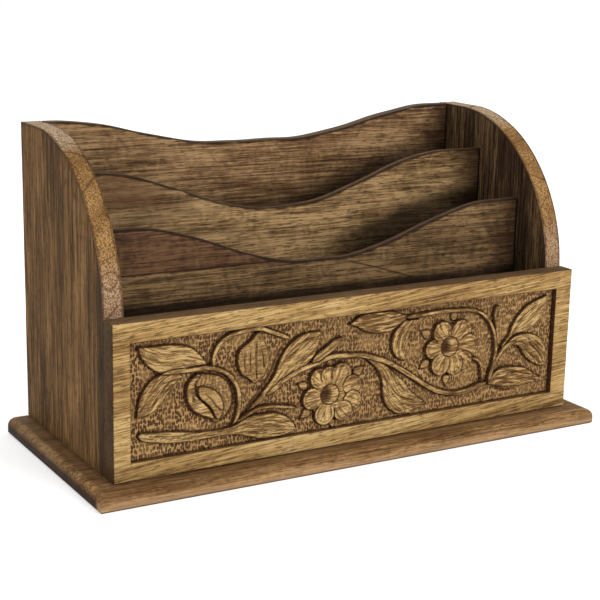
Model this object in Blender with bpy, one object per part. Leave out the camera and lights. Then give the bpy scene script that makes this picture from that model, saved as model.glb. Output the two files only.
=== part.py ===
"""A wooden letter rack, in metres with +Z up.

A base board carries two curved sides. A back and two dividers with wavy tops
stand between them, and a low panel with a carved field covers their front edges.
The origin is the middle of the base's underside, and +Y points to the back.
"""

from math import cos, pi, radians, sin, sqrt, tau

import bmesh
import bpy
from mathutils import Matrix, Vector

# The room between the boards, front to back
front_slot = 0.026
middle_slot = 0.0305
rear_slot = 0.0275

# Boards
body_width = 0.260
side_height = 0.151
side_thickness = 0.010
side_curve_radius = 0.080
back_thickness = 0.008
divider_thickness = 0.005
groove_depth = 0.0025

# The back's wavy top, whose ends are flush with the sides
back_dip = 0.0147
back_low_point = -0.0028
back_low_half = 0.019
back_left_shoulder = 0.0033
back_right_shoulder = 0.0071

# The rear divider's wavy top, whose ends lie a step below the sides' top
rear_divider_step = 0.021
rear_divider_dip = 0.0235
rear_divider_low_point = -0.0071
rear_divider_low_half = 0.0051
rear_divider_left_shoulder = 0.0096
rear_divider_right_shoulder = 0.0235

# The front divider's wavy top, whose right end lies a little lower than its left one
front_divider_step = 0.0419
front_divider_dip = 0.0236
front_divider_low_point = -0.0016
front_divider_low_half = 0.007
front_divider_left_shoulder = 0.0129
front_divider_right_shoulder = 0.0146
front_divider_right_drop = 0.0013

# The front panel and the sunk field that holds its carving
panel_height = 0.075
panel_thickness = 0.010
field_left_border = 0.0085
field_right_border = 0.0100
field_lower_border = 0.009
field_upper_border = 0.0095
field_depth = 0.003

# The carving, whose forms stand on the field's ground: how far each kind's top lies
# below the panel's face, and how far its foot reaches into the ground
leaf_level = 0.0006
flower_level = 0.0007
bud_level = 0.0008
vine_level = 0.0010
carving_foot = 0.0006
hollow_depth = 0.0014
petal_steps = 48

# The carving's outlines in millimetres, from the panel's lower left corner
millimetre = 0.001
LEAVES = {
    "top_left_leaf": [
        (46.8, 51), (42, 57.3), (36, 60.8), (29.3, 62), (19.3, 62.3), (12.4, 62.6),
        (14, 58.3), (17, 54), (21, 50.5), (24, 49.5), (34, 50),
    ],
    "lower_left_leaf": [
        (33, 48.9), (24, 48.5), (18.3, 45.7), (14.3, 40.7), (12.5, 34.7), (11.8, 29.4),
        (18.7, 30.7), (23, 33.3), (26.7, 38.3), (30.7, 43.2), (35.3, 46),
    ],
    "long_leaf": [
        (60, 18.4), (43.3, 18.4), (32.7, 20.3), (20.7, 21.5), (13.4, 22), (12.4, 20.8),
        (13.4, 19), (20, 16.7), (29.3, 15), (40.7, 14.3), (60, 14.4), (66.3, 13), (74.7, 10.2),
        (81.3, 9.7), (88.8, 10), (95.3, 12.4), (93, 15.9), (88, 20.1), (83, 22), (75.9, 22.2),
        (68.8, 21.8), (63.4, 19.3),
    ],
    "big_leaf": [
        (66.3, 23.4), (73.6, 29.9), (80.7, 38), (84.3, 44.7), (87.7, 51.3), (92.7, 56.3),
        (100, 59), (108.1, 58.8), (106.5, 52.5), (103.5, 46.8), (97, 41.5), (87, 35), (79, 29.8),
    ],
    "top_middle_leaf": [
        (157, 61.4), (151.3, 63.7), (144.7, 64.8), (134, 64.8), (128, 63), (123.4, 60.6),
        (128, 58.8), (133.3, 55.8), (140.7, 54.1), (148, 54.6), (153.3, 57.5), (157, 59.5),
    ],
    "comma_leaf": [
        (156, 60), (151.3, 55), (148.7, 50.7), (148.7, 45.3), (152, 40), (156.9, 38),
        (157.7, 44.7), (160.3, 52), (165, 60),
    ],
    "under_vine_leaf": [
        (126, 44.4), (134.7, 41), (140.7, 35.3), (143.7, 28), (145, 19.3), (149.3, 13.3),
        (158, 10.3), (166, 12.3), (171, 13.7), (165.3, 18.3), (159.3, 24), (153.3, 30.3),
        (146.7, 36.3), (139, 41.5), (134, 44.4),
    ],
    "right_top_leaf": [
        (216, 38), (221, 43.8), (223, 48.7), (227.3, 54.3), (233.7, 58.9), (245.2, 62.7),
        (244, 56), (239.7, 48.7), (231.7, 44.7), (224.3, 43.7), (218, 38),
    ],
    "right_middle_leaf": [
        (219, 39), (226.7, 42.8), (235.8, 42.7), (241.7, 39.7), (245.2, 35.4), (245.6, 24),
        (238.8, 26.2), (233.3, 30), (229.6, 35), (225.4, 37.5), (219, 37),
    ],
    "right_low_leaf": [
        (209.5, 21), (214.6, 25.5), (220.8, 26.6), (229.2, 25.6), (235.4, 23.1), (244.3, 18.2),
        (237.5, 16), (229.2, 15.2), (217.5, 16.3), (209, 18.6),
    ],
    "spike": [
        (213.8, 39.5), (211.4, 51.5), (210.8, 57), (213.2, 60.3), (215.3, 57), (215, 48),
        (215.4, 39.5),
    ],
}
BUDS = {
    "low_bud": [
        (43.5, 46.2), (37.7, 43.3), (36.3, 38), (38.7, 30), (43.3, 26), (52.7, 21.5),
        (58, 25.6), (60.4, 32), (58.8, 39), (53.8, 43.9),
    ],
    "high_bud": [
        (73.3, 62.6), (68.2, 58.2), (63.8, 54.7), (63, 48.7), (65.4, 42.9), (71.9, 37.9),
        (77, 41.3), (79.6, 48), (78.3, 54.9), (75.5, 61.8),
    ],
}
# A vine is a width and a middle line
VINES = {
    "left_vine": (2.4, [
        (24.5, 49), (45, 48.9), (54, 46.6), (60.5, 41.6), (63.8, 34), (63.7, 26), (60.5, 17.5),
    ]),
    "over_bud_vine": (2.3, [
        (50.3, 48), (51.3, 55.5), (56.5, 61.4), (66, 64), (75.5, 64), (83, 61), (91, 57.6),
    ]),
    "low_left_vine": (1.7, [(62, 20.3), (68.4, 23.2), (75.1, 25.2), (81.8, 25.2), (95.5, 22.8)]),
    "main_vine": (2.8, [
        (76, 30.4), (86, 36.3), (95.5, 40.7), (110.5, 45.1), (120, 45.4), (134.5, 43.3),
        (147, 38.4), (159, 31), (168.5, 24.5), (177, 19.7), (187, 17), (197, 17.4), (211, 21),
    ]),
    "shoot": (4.2, [(101, 43.4), (112.6, 49.7), (119.4, 54.8)]),
    "top_vine": (2.1, [
        (155, 60.4), (184, 60.8), (196, 59.8), (204, 56.6), (209.5, 50.2), (212.5, 42.3),
        (212.9, 34.5), (209.2, 21),
    ]),
    "right_vine": (2.4, [(208.8, 19.5), (213.8, 31.8), (220, 38), (226, 40)]),
    "tendril": (1.9, [(205, 19), (204.6, 28), (201.8, 32.6), (194, 34.3)]),
}
# A flower is its middle, its petals as circles, and the hollow in its boss
FLOWERS = {
    "low_flower": (
        (113.6, 26.8),
        [
            (103.4, 25.6, 5.3), (106.6, 36, 4.6), (112.3, 37, 4.2), (119.9, 36.9, 5.5),
            (126.4, 30, 5), (126.6, 22, 5), (120.6, 17.4, 5), (110.6, 16.9, 5.3),
        ],
        [
            (109, 27), (109.6, 30), (111, 31.3), (112.6, 30.6), (113.4, 27), (113, 23.4),
            (111.4, 22.3), (109.8, 23.8),
        ],
    ),
    "high_flower": (
        (183.3, 42.1),
        [
            (173.7, 41.7, 5), (179.2, 50.6, 5.3), (190.9, 49.9, 5.7), (196.8, 41, 5.2),
            (192.4, 32, 4.7), (186.6, 31.4, 4.9), (178, 32.9, 5.1),
        ],
        [
            (178.8, 42.2), (179.4, 44.8), (180.8, 45.8), (182.3, 44.6), (182.9, 41.6),
            (182.4, 39), (180.8, 38.2), (179.4, 39.6),
        ],
    ),
}

# The base, which reaches out at the left, the front and the right
base_thickness = 0.008
base_overhang = 0.011
base_round = 0.004

# Countersunk wood screws, driven up through the base
screw_length = 0.028
screw_radius = 0.0014
screw_point = 0.004
screw_head_radius = 0.0028
screw_head_rim = 0.0003
screw_head_height = 0.002
screw_head_sunk = 0.0005
drive_arm = 0.0016
drive_width = 0.0008
drive_depth = 0.0011
side_screw_inset = 0.020
cross_screw_inset = 0.050

# Blind dowels in the panel's and the back's joints
dowel_length = 0.016
dowel_radius = 0.0025
dowel_chamfer = 0.0005
dowel_blind_end = 0.006
panel_dowel_inset = 0.015
back_dowel_inset = 0.025

# Fits, softened edges and cuts
joint_gap = 0.0003
edge_ease = 0.0007
cut_overrun = 0.003
weld_distance = 0.00001

# How finely the curves are drawn
wave_steps = 20
curve_steps = 20
round_steps = 5
turned_sides = 16
sharp_angle = radians(35)

# Places that follow from the sizes
body_depth = (
    panel_thickness + front_slot + middle_slot + rear_slot
    + 2 * divider_thickness + back_thickness
)
base_width = body_width + 2 * base_overhang
base_depth = body_depth + base_overhang
inner_half = body_width / 2 - side_thickness
front_face = base_overhang - base_depth / 2
panel_rear = front_face + panel_thickness
front_divider_face = panel_rear + front_slot
rear_divider_face = front_divider_face + divider_thickness + middle_slot
back_face = rear_divider_face + divider_thickness + rear_slot
side_depth = body_depth - panel_thickness - joint_gap
deck = base_thickness + joint_gap
post_height = side_height - joint_gap
side_middle = body_width / 2 - side_thickness / 2

# Which way an outline's points and its depth run
FACING_X = Matrix(((0, 0, 1), (1, 0, 0), (0, 1, 0)))
FACING_Y = Matrix(((1, 0, 0), (0, 0, 1), (0, 1, 0)))
FACING_Z = Matrix.Identity(3)
TURN_TO_Y = (-pi / 2, 0, 0)
TURN_TO_X = (0, pi / 2, 0)
UPRIGHT = (0, 0, 0)
HANDS = (("left", -1), ("right", 1))


def clear_scene():
    for old in list(bpy.data.objects):
        bpy.data.objects.remove(old, do_unlink=True)


def plain_material(name, colour, roughness, metallic=0):
    material = bpy.data.materials.new(name)
    material.use_nodes = True
    shader = material.node_tree.nodes["Principled BSDF"]
    shader.inputs["Base Color"].default_value = (*colour, 1)
    shader.inputs["Roughness"].default_value = roughness
    shader.inputs["Metallic"].default_value = metallic
    material.diffuse_color = (*colour, 1)
    return material


def smoothed(name, shape):
    """A mesh from the bmesh, shaded smooth across its shallow edges."""
    bmesh.ops.recalc_face_normals(shape, faces=shape.faces)
    mesh = bpy.data.meshes.new(name)
    shape.to_mesh(mesh)
    shape.free()
    mesh.shade_smooth()
    mesh.set_sharp_from_angle(angle=sharp_angle)
    return mesh


def placed(name, mesh, location, rotation=UPRIGHT):
    piece = bpy.data.objects.new(name, mesh)
    piece.location = location
    piece.rotation_euler = rotation
    piece.parent = bpy.data.objects["letter_rack"]
    bpy.context.scene.collection.objects.link(piece)
    return piece


def finished(piece, material):
    if not piece.data.materials:
        piece.data.materials.append(material)
    return piece


def rectangle(left, low, right, high):
    return [(left, low), (right, low), (right, high), (left, high)]


def extruded(outline, facing, depth):
    """A closed bmesh that holds the outline from zero to a depth."""
    shape = bmesh.new()
    corners = [shape.verts.new(facing @ Vector((*point, 0))) for point in outline]
    face = shape.faces.new(corners)
    grown = bmesh.ops.extrude_face_region(shape, geom=[face])["geom"]
    moved = [part for part in grown if isinstance(part, bmesh.types.BMVert)]
    bmesh.ops.translate(shape, verts=moved, vec=facing @ Vector((0, 0, depth)))
    return shape


def turned(profile):
    """A closed bmesh turned about Z from (radius, height) points, one end of the axis to the other."""
    shape = bmesh.new()
    line = [shape.verts.new((radius, 0, height)) for radius, height in profile]
    edges = [shape.edges.new(pair) for pair in zip(line, line[1:])]
    bmesh.ops.spin(
        shape, geom=line + edges, cent=(0, 0, 0), axis=(0, 0, 1),
        angle=tau, steps=turned_sides, use_merge=True,
    )
    bmesh.ops.remove_doubles(shape, verts=shape.verts, dist=weld_distance)
    return shape


def ease_edges(piece):
    bevel = piece.modifiers.new("eased edges", "BEVEL")
    bevel.width = edge_ease
    bevel.segments = 2
    bevel.limit_method = "ANGLE"
    bevel.angle_limit = sharp_angle


def combine(piece, other, operation):
    boolean = piece.modifiers.new(f"{operation.lower()} with {other.name}", "BOOLEAN")
    boolean.operation = operation
    boolean.solver = "EXACT"
    boolean.object = other


def cut(piece, cutter):
    combine(piece, cutter, "DIFFERENCE")


def cutter_from(name, shape, location, rotation=UPRIGHT):
    cutter = placed(name, smoothed(name, shape), location, rotation)
    cutter.hide_render = True
    cutter.display_type = "WIRE"
    return cutter


def base_shape():
    """The base's board, with its top edge rounded over except at the back."""
    outline = rectangle(-base_width / 2, -base_depth / 2, base_width / 2, base_depth / 2)
    shape = extruded(outline, FACING_Z, base_thickness)
    top = [
        edge for edge in shape.edges
        if all(vert.co.z > base_thickness / 2 for vert in edge.verts)
        and any(vert.co.y < 0 for vert in edge.verts)
    ]
    under = [edge for edge in shape.edges if all(vert.co.z < weld_distance for vert in edge.verts)]
    round_over = min(base_round, base_thickness - 2 * edge_ease)
    for edges, radius, steps in ((top, round_over, round_steps), (under, edge_ease, 1)):
        bmesh.ops.bevel(
            shape, geom=edges, offset=radius, offset_type="OFFSET", segments=steps,
            profile=0.5, affect="EDGES", clamp_overlap=True,
        )
    return shape


def side_outline():
    """A side seen from its end: its top front corner is a quarter round."""
    radius = min(side_curve_radius, side_depth, post_height)
    centre = (radius, post_height - radius)
    outline = [(0, 0)]
    for step in range(curve_steps + 1):
        angle = pi - pi / 2 * step / curve_steps
        outline.append((centre[0] + radius * cos(angle), centre[1] + radius * sin(angle)))
    if side_depth > radius:
        outline.append((side_depth, post_height))
    outline.append((side_depth, 0))
    return outline


def wave_run(low_end, shoulder_end, end_height, dip):
    """Points along a half cosine that climbs from the low end to the shoulder."""
    points = []
    for step in range(wave_steps + 1):
        share = step / wave_steps
        across = low_end + (shoulder_end - low_end) * share
        points.append((across, end_height - dip * (1 + cos(pi * share)) / 2))
    return points


def wavy_outline(
    half_length, end_height, dip, low_point, low_half, left_shoulder, right_shoulder, right_drop=0
):
    """A board seen from the front: square below, with a top that dips in a smooth wave."""
    right_height = end_height - right_drop
    left = wave_run(low_point - low_half, left_shoulder - inner_half, end_height, dip)
    right = wave_run(low_point + low_half, inner_half - right_shoulder, right_height, dip - right_drop)
    ends = [(-half_length, end_height), (-half_length, 0), (half_length, 0), (half_length, right_height)]
    return left + ends + right[::-1]


def wavy_board(name, outline, thickness, face, material):
    shape = extruded(outline, FACING_Y, thickness)
    board = placed(name, smoothed(name, shape), (0, face, deck))
    ease_edges(board)
    return finished(board, material)


def base_board(material):
    mesh = smoothed("base_board", base_shape())
    return finished(placed("base_board", mesh, (0, 0, 0)), material)


def side_board(hand, sign, material):
    name = f"{hand}_side"
    shape = extruded(side_outline(), FACING_X, side_thickness)
    outer_left = -body_width / 2 if sign < 0 else inner_half
    board = placed(name, smoothed(name, shape), (outer_left, panel_rear + joint_gap, deck))
    ease_edges(board)
    return finished(board, material)


def back_panel(material):
    outline = wavy_outline(
        inner_half - joint_gap, post_height, back_dip, back_low_point, back_low_half,
        back_left_shoulder, back_right_shoulder,
    )
    return wavy_board("back_panel", outline, back_thickness, back_face, material)


def rear_divider(material):
    outline = wavy_outline(
        inner_half + groove_depth - joint_gap, post_height - rear_divider_step, rear_divider_dip,
        rear_divider_low_point, rear_divider_low_half,
        rear_divider_left_shoulder, rear_divider_right_shoulder,
    )
    return wavy_board("rear_divider", outline, divider_thickness, rear_divider_face, material)


def front_divider(material):
    outline = wavy_outline(
        inner_half + groove_depth - joint_gap, post_height - front_divider_step, front_divider_dip,
        front_divider_low_point, front_divider_low_half,
        front_divider_left_shoulder, front_divider_right_shoulder, front_divider_right_drop,
    )
    return wavy_board("front_divider", outline, divider_thickness, front_divider_face, material)


def carved_form(board, name, outline, level):
    """One form of the carving, from its top down into the field's ground, joined to the panel."""
    lower_left = (-body_width / 2, deck)
    points = [(x * millimetre + lower_left[0], z * millimetre) for x, z in outline]
    shape = extruded(points, FACING_Y, field_depth + carving_foot - level)
    form = cutter_from(name, shape, (0, front_face + level, lower_left[1]))
    combine(board, form, "UNION")


def vine_outline(width, line):
    """A band along the line: each point moves to both sides by half the width."""
    points = [Vector(point) for point in line]
    near_side, far_side = [], []
    for index, point in enumerate(points):
        before = points[max(index - 1, 0)]
        after = points[min(index + 1, len(points) - 1)]
        way = (after - before).normalized()
        aside = Vector((-way.y, way.x)) * width / 2
        near_side.append(tuple(point + aside))
        far_side.append(tuple(point - aside))
    return near_side + far_side[::-1]


def flower_outline(middle, petals):
    """The scalloped outline of all the petals: the furthest petal in each direction."""
    outline = []
    for step in range(petal_steps):
        way = Vector((cos(tau * step / petal_steps), sin(tau * step / petal_steps)))
        reach = 0
        for x, z, radius in petals:
            out = Vector((x, z)) - Vector(middle)
            along = out.dot(way)
            beside = out.length_squared - along * along
            if along > 0 and beside < radius * radius:
                reach = max(reach, along + sqrt(radius * radius - beside))
        outline.append(tuple(Vector(middle) + way * reach))
    return outline


def carve(board):
    """The traditional vine with its leaves, buds and flowers, with plain tops."""
    for name, outline in LEAVES.items():
        carved_form(board, name, outline, leaf_level)
    for name, outline in BUDS.items():
        carved_form(board, name, outline, bud_level)
    for name, (width, line) in VINES.items():
        carved_form(board, name, vine_outline(width, line), vine_level)
    for name, (middle, petals, hollow) in FLOWERS.items():
        carved_form(board, name, flower_outline(middle, petals), flower_level)
        points = [(x * millimetre - body_width / 2, z * millimetre) for x, z in hollow]
        depth = hollow_depth + flower_level + cut_overrun
        cutter = cutter_from(
            f"{name}_hollow", extruded(points, FACING_Y, depth),
            (0, front_face - cut_overrun, deck),
        )
        cut(board, cutter)


def front_panel(material):
    """The board that closes the front, with a field sunk into its face and carved in relief."""
    top = panel_height - joint_gap
    outline = rectangle(-body_width / 2, 0, body_width / 2, top)
    board = placed(
        "front_panel", smoothed("front_panel", extruded(outline, FACING_Y, panel_thickness)),
        (0, front_face, deck),
    )
    ease_edges(board)
    field = rectangle(
        field_left_border - body_width / 2, field_lower_border,
        body_width / 2 - field_right_border, top - field_upper_border,
    )
    cutter = cutter_from(
        "field_cutter", extruded(field, FACING_Y, field_depth + cut_overrun),
        (0, front_face - cut_overrun, deck),
    )
    cut(board, cutter)
    carve(board)
    return finished(board, material)


def cut_groove(board, hand, sign, name, face, end_height):
    """A stopped groove in a side's inner face, open at the bottom, for a divider's end."""
    width = divider_thickness + 2 * joint_gap
    outline = rectangle(0, -cut_overrun, width, end_height + joint_gap)
    shape = extruded(outline, FACING_X, groove_depth + cut_overrun)
    start = inner_half - cut_overrun if sign > 0 else -inner_half - groove_depth
    cutter = cutter_from(f"{name}_{hand}_groove", shape, (start, face - joint_gap, deck))
    cut(board, cutter)


def screw_profile():
    return [
        (0, 0), (screw_head_radius, 0), (screw_head_radius, screw_head_rim),
        (screw_radius, screw_head_height), (screw_radius, screw_length - screw_point),
        (0, screw_length),
    ]


def screw_hole_profile():
    """The screw's own shape grown by the gap, and open below its head."""
    mouth = -screw_head_sunk - cut_overrun
    head_radius = screw_head_radius + joint_gap
    shank_radius = screw_radius + joint_gap
    end = screw_length + joint_gap
    return [
        (0, mouth), (head_radius, mouth), (head_radius, screw_head_rim),
        (shank_radius, screw_head_height), (shank_radius, end), (0, end),
    ]


def cross_outline():
    """The plus sign of the screw's drive, seen from below."""
    half = drive_width / 2
    quarter = [(drive_arm, -half), (drive_arm, half), (half, half)]
    turns = ((1, 0), (0, 1), (-1, 0), (0, -1))
    return [(x * c - y * s, x * s + y * c) for c, s in turns for x, y in quarter]


def screw(name, location, mesh, material):
    piece = placed(name, mesh, location)
    drive = extruded(cross_outline(), FACING_Z, drive_depth + screw_head_sunk)
    place = Vector(location) - Vector((0, 0, screw_head_sunk))
    cut(piece, cutter_from(f"{name}_drive", drive, place))
    return finished(piece, material)


def dowel_profile():
    end = dowel_radius - dowel_chamfer
    return [
        (0, 0), (end, 0), (dowel_radius, dowel_chamfer),
        (dowel_radius, dowel_length - dowel_chamfer), (end, dowel_length), (0, dowel_length),
    ]


def dowel_hole_profile():
    radius = dowel_radius + joint_gap
    end = dowel_length + joint_gap
    return [(0, -joint_gap), (radius, -joint_gap), (radius, end), (0, end)]


def screw_places(boards):
    """Each screw's name, its place under its board, and that board."""
    side_front = panel_rear + side_screw_inset
    side_rear = base_depth / 2 - side_screw_inset
    cross_x = inner_half - cross_screw_inset
    places = []
    for hand, sign in HANDS:
        side = boards[f"{hand}_side"]
        places.append((f"side_screw_{hand}_front", sign * side_middle, side_front, side))
        places.append((f"side_screw_{hand}_rear", sign * side_middle, side_rear, side))
        panel_y = front_face + (field_depth + panel_thickness) / 2
        places.append((f"panel_screw_{hand}", sign * cross_x, panel_y, boards["front_panel"]))
        back_y = back_face + back_thickness / 2
        places.append((f"back_screw_{hand}", sign * cross_x, back_y, boards["back_panel"]))
    return places


def add_screws(boards, material):
    screw_mesh = smoothed("screw", turned(screw_profile()))
    for name, x, y, board in screw_places(boards):
        place = (x, y, screw_head_sunk)
        screw(name, place, screw_mesh, material)
        hole = cutter_from(f"{name}_hole", turned(screw_hole_profile()), place)
        cut(boards["base_board"], hole)
        cut(board, hole)


def dowel_places(boards):
    """Each dowel's name, the place of its near end, its turn, and the two boards it joins."""
    panel_start = panel_rear - dowel_blind_end
    back_y = back_face + back_thickness / 2
    levels = (
        ("lower", panel_dowel_inset, back_dowel_inset),
        ("upper", panel_height - panel_dowel_inset, side_height - back_dowel_inset),
    )
    places = []
    for hand, sign in HANDS:
        side = boards[f"{hand}_side"]
        inward = dowel_blind_end if sign < 0 else dowel_length - dowel_blind_end
        back_start = sign * inner_half - inward
        for level, panel_rise, back_rise in levels:
            places.append((
                f"panel_dowel_{hand}_{level}", (sign * side_middle, panel_start, deck + panel_rise),
                TURN_TO_Y, (boards["front_panel"], side),
            ))
            places.append((
                f"back_dowel_{hand}_{level}", (back_start, back_y, deck + back_rise),
                TURN_TO_X, (boards["back_panel"], side),
            ))
    return places


def add_dowels(boards, material):
    dowel_mesh = smoothed("dowel", turned(dowel_profile()))
    for name, place, turn, joined in dowel_places(boards):
        finished(placed(name, dowel_mesh, place, turn), material)
        hole = cutter_from(f"{name}_hole", turned(dowel_hole_profile()), place, turn)
        for board in joined:
            cut(board, hole)


def build_boards():
    side_wood = plain_material("side_wood", (0.150, 0.094, 0.048), 0.6)
    divider_wood = plain_material("divider_wood", (0.120, 0.072, 0.037), 0.6)
    panel_wood = plain_material("panel_wood", (0.330, 0.205, 0.098), 0.55)
    base_wood = plain_material("base_wood", (0.210, 0.118, 0.062), 0.55)
    boards = {
        "base_board": base_board(base_wood),
        "back_panel": back_panel(divider_wood),
        "rear_divider": rear_divider(divider_wood),
        "front_divider": front_divider(divider_wood),
        "front_panel": front_panel(panel_wood),
    }
    for hand, sign in HANDS:
        side = side_board(hand, sign, side_wood)
        cut_groove(side, hand, sign, "front_divider", front_divider_face, post_height - front_divider_step)
        cut_groove(side, hand, sign, "rear_divider", rear_divider_face, post_height - rear_divider_step)
        boards[f"{hand}_side"] = side
    return boards


def build_rack():
    clear_scene()
    bpy.context.scene.collection.objects.link(bpy.data.objects.new("letter_rack", None))
    boards = build_boards()
    add_screws(boards, plain_material("screw_steel", (0.55, 0.53, 0.48), 0.35, 1))
    add_dowels(boards, plain_material("dowel_wood", (0.52, 0.37, 0.22), 0.6))


build_rack()
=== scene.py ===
# %% [markdown]
# # A carved wooden letter rack
# The rack is seven boards of an open-grained hardwood, stained dark and then rubbed back on
# its edges and high spots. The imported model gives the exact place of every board. This lesson
# keeps those places, and gives each board softened edges, a slight hand-made waver, the
# carving, and a wood that runs the right way through it.

import bpy
import numpy as np
from math import cos, pi, radians, sin
from mathutils import Matrix, Vector


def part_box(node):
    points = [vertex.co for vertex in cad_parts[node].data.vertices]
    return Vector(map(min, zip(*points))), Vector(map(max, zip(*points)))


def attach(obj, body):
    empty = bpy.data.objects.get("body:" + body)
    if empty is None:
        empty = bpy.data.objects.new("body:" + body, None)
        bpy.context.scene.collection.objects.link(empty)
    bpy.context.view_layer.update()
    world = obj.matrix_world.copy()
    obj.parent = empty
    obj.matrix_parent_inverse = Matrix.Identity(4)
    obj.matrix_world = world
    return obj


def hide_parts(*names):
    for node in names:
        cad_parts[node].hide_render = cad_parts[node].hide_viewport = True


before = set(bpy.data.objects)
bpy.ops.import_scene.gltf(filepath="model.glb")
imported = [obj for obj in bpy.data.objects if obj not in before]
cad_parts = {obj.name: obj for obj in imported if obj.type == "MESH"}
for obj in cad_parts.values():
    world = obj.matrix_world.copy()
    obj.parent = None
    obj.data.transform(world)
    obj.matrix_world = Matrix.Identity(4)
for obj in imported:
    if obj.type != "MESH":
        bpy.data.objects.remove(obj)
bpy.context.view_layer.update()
print("nodes in the frame:", len(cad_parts))

# %% [markdown]
# ## The camera
# A photograph of a product is mostly taken with a long lens from a few steps away, so that its
# upright edges stay nearly parallel. The camera here stands to the left of the rack's front
# and a little above it. Its turn, rise and roll are given as angles, and the three directions
# of its matrix follow from them.

# %% Camera
camera_place = (-0.3736, -0.6318, 0.2513)
camera_turn, camera_rise, camera_roll = radians(-30.22), radians(13.957), radians(1.179)
camera_lens = 88.58


def camera_matrix(turn, rise, roll):
    back = Vector((sin(turn) * cos(rise), -cos(turn) * cos(rise), sin(rise)))
    right = Vector((0, 0, 1)).cross(back).normalized()
    upward = back.cross(right)
    level = Matrix((right, upward, back)).transposed()
    return level @ Matrix.Rotation(roll, 3, "Z")


camera_data = bpy.data.cameras.new("camera")
camera_data.lens = camera_lens
camera = bpy.data.objects.new("camera", camera_data)
camera.matrix_world = Matrix.Translation(camera_place) @ camera_matrix(
    camera_turn, camera_rise, camera_roll
).to_4x4()
bpy.context.scene.collection.objects.link(camera)
bpy.context.scene.camera = camera
print("camera stands at", camera_place)

# %% [markdown]
# ## Helpers for modelling
# Every operator in Blender works on whatever is selected, so each step starts with nothing
# selected. A board starts as a flat grid. Each of its corners has two numbers between 0 and 1,
# across and up, and one function says where that corner goes. This gives clean rows of faces,
# which a solid cut from a block wouldn't have.

# %% Helpers for modelling
mm = 0.001
ease = 0.7 * mm
waver_depth = 0.08 * mm
waver_length = 38 * mm


def deselect_all():
    bpy.ops.object.select_all(action="DESELECT")


def select_only(piece):
    deselect_all()
    piece.select_set(True)
    bpy.context.view_layer.objects.active = piece


def grid_sheet(name, columns, rows):
    """A flat grid, one metre wide, ready to be shaped."""
    deselect_all()
    bpy.ops.mesh.primitive_grid_add(x_subdivisions=columns, y_subdivisions=rows, size=1)
    sheet = bpy.context.object
    sheet.name = name
    return sheet


def corners(piece):
    values = np.empty(3 * len(piece.data.vertices))
    piece.data.vertices.foreach_get("co", values)
    return values.reshape(-1, 3)


def move_corners(piece, places):
    piece.data.vertices.foreach_set("co", np.ascontiguousarray(places, np.float64).ravel())
    piece.data.update()


def keep_attribute(piece, name, values, kind="FLOAT"):
    """Keeps a number or a place for every corner of a mesh, for its finish to read."""
    layer = piece.data.attributes.new(name, kind, "POINT")
    field_name = "vector" if kind == "FLOAT_VECTOR" else "value"
    layer.data.foreach_set(field_name, np.ascontiguousarray(values, np.float32).ravel())


def apply_all(piece):
    select_only(piece)
    for modifier in list(piece.modifiers):
        bpy.ops.object.modifier_apply(modifier=modifier.name)


def waver(points, length, seed):
    """A gentle, repeatable wandering between -1 and 1 over the points."""
    total = np.zeros(len(points))
    for turn in range(4):
        angle = 1.7 * turn + seed
        way = np.array((np.cos(angle), np.sin(1.3 * angle), np.sin(angle)))
        total += np.sin(points @ way * 2 * pi / (length * (1 - 0.17 * turn)) + 2.1 * turn + seed)
    return total / 4


def shade_softly(piece, angle=40):
    select_only(piece)
    bpy.ops.object.shade_smooth_by_angle(angle=radians(angle))


def board_from(sheet, thickness, seed):
    """Gives a shaped sheet its thickness, soft edges and a waver, and keeps it inside its board's
    place.
    """
    solid = sheet.modifiers.new("thickness", "SOLIDIFY")
    solid.thickness = thickness
    solid.offset = 0
    soft = sheet.modifiers.new("soft edges", "BEVEL")
    soft.width = ease
    soft.segments = 3
    soft.limit_method = "ANGLE"
    soft.angle_limit = radians(50)
    apply_all(sheet)
    places = corners(sheet)
    for axis in range(3):
        places[:, axis] += waver_depth * waver(places, waver_length, seed + 5 * axis)
    low, high = (np.array(corner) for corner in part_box(sheet.name.removesuffix("_board")))
    move_corners(sheet, np.clip(places, low, high))
    shade_softly(sheet)
    print(sheet.name, "has", len(sheet.data.polygons), "faces")
    return sheet


# %% [markdown]
# ## The wavy boards
# The back and the two dividers are sawn with one long dip in the top edge, so that a hand can
# reach in. The dip is half a cosine down and half a cosine up, with a short level stretch at
# its lowest point and at each end. The sheet's rows are squeezed under that line, so that the
# top row is the wavy edge itself.

# %% Wavy boards
WAVES = {
    "back_panel": dict(dip=14.7, low_point=-2.8, low_half=19, runs=(94.9, 96.7)),
    "rear_divider": dict(dip=23.5, low_point=-7.1, low_half=5.1, runs=(98.2, 98.5)),
    "front_divider": dict(dip=23.6, low_point=-1.6, low_half=7, runs=(98.5, 100), right_drop=1.3),
}
IN_FRONT = {"back_panel": "rear_divider", "rear_divider": "front_divider"}
wavy_columns = 96
wavy_rows = 40
edge_waver_depth = 0.12 * mm
edge_waver_length = 31 * mm
panel_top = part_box("front_panel")[1].z


def wave_top(node, x):
    """The height of a board's top at x, all in metres."""
    wave = WAVES[node]
    off = x / mm - wave["low_point"]
    share = np.clip((np.abs(off) - wave["low_half"]) / np.where(off < 0, *wave["runs"]), 0, 1)
    end_drop = np.where(off < 0, 0, wave.get("right_drop", 0))
    drop = end_drop + (wave["dip"] - end_drop) * (1 + np.cos(pi * share)) / 2
    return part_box(node)[1].z - drop * mm


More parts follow.
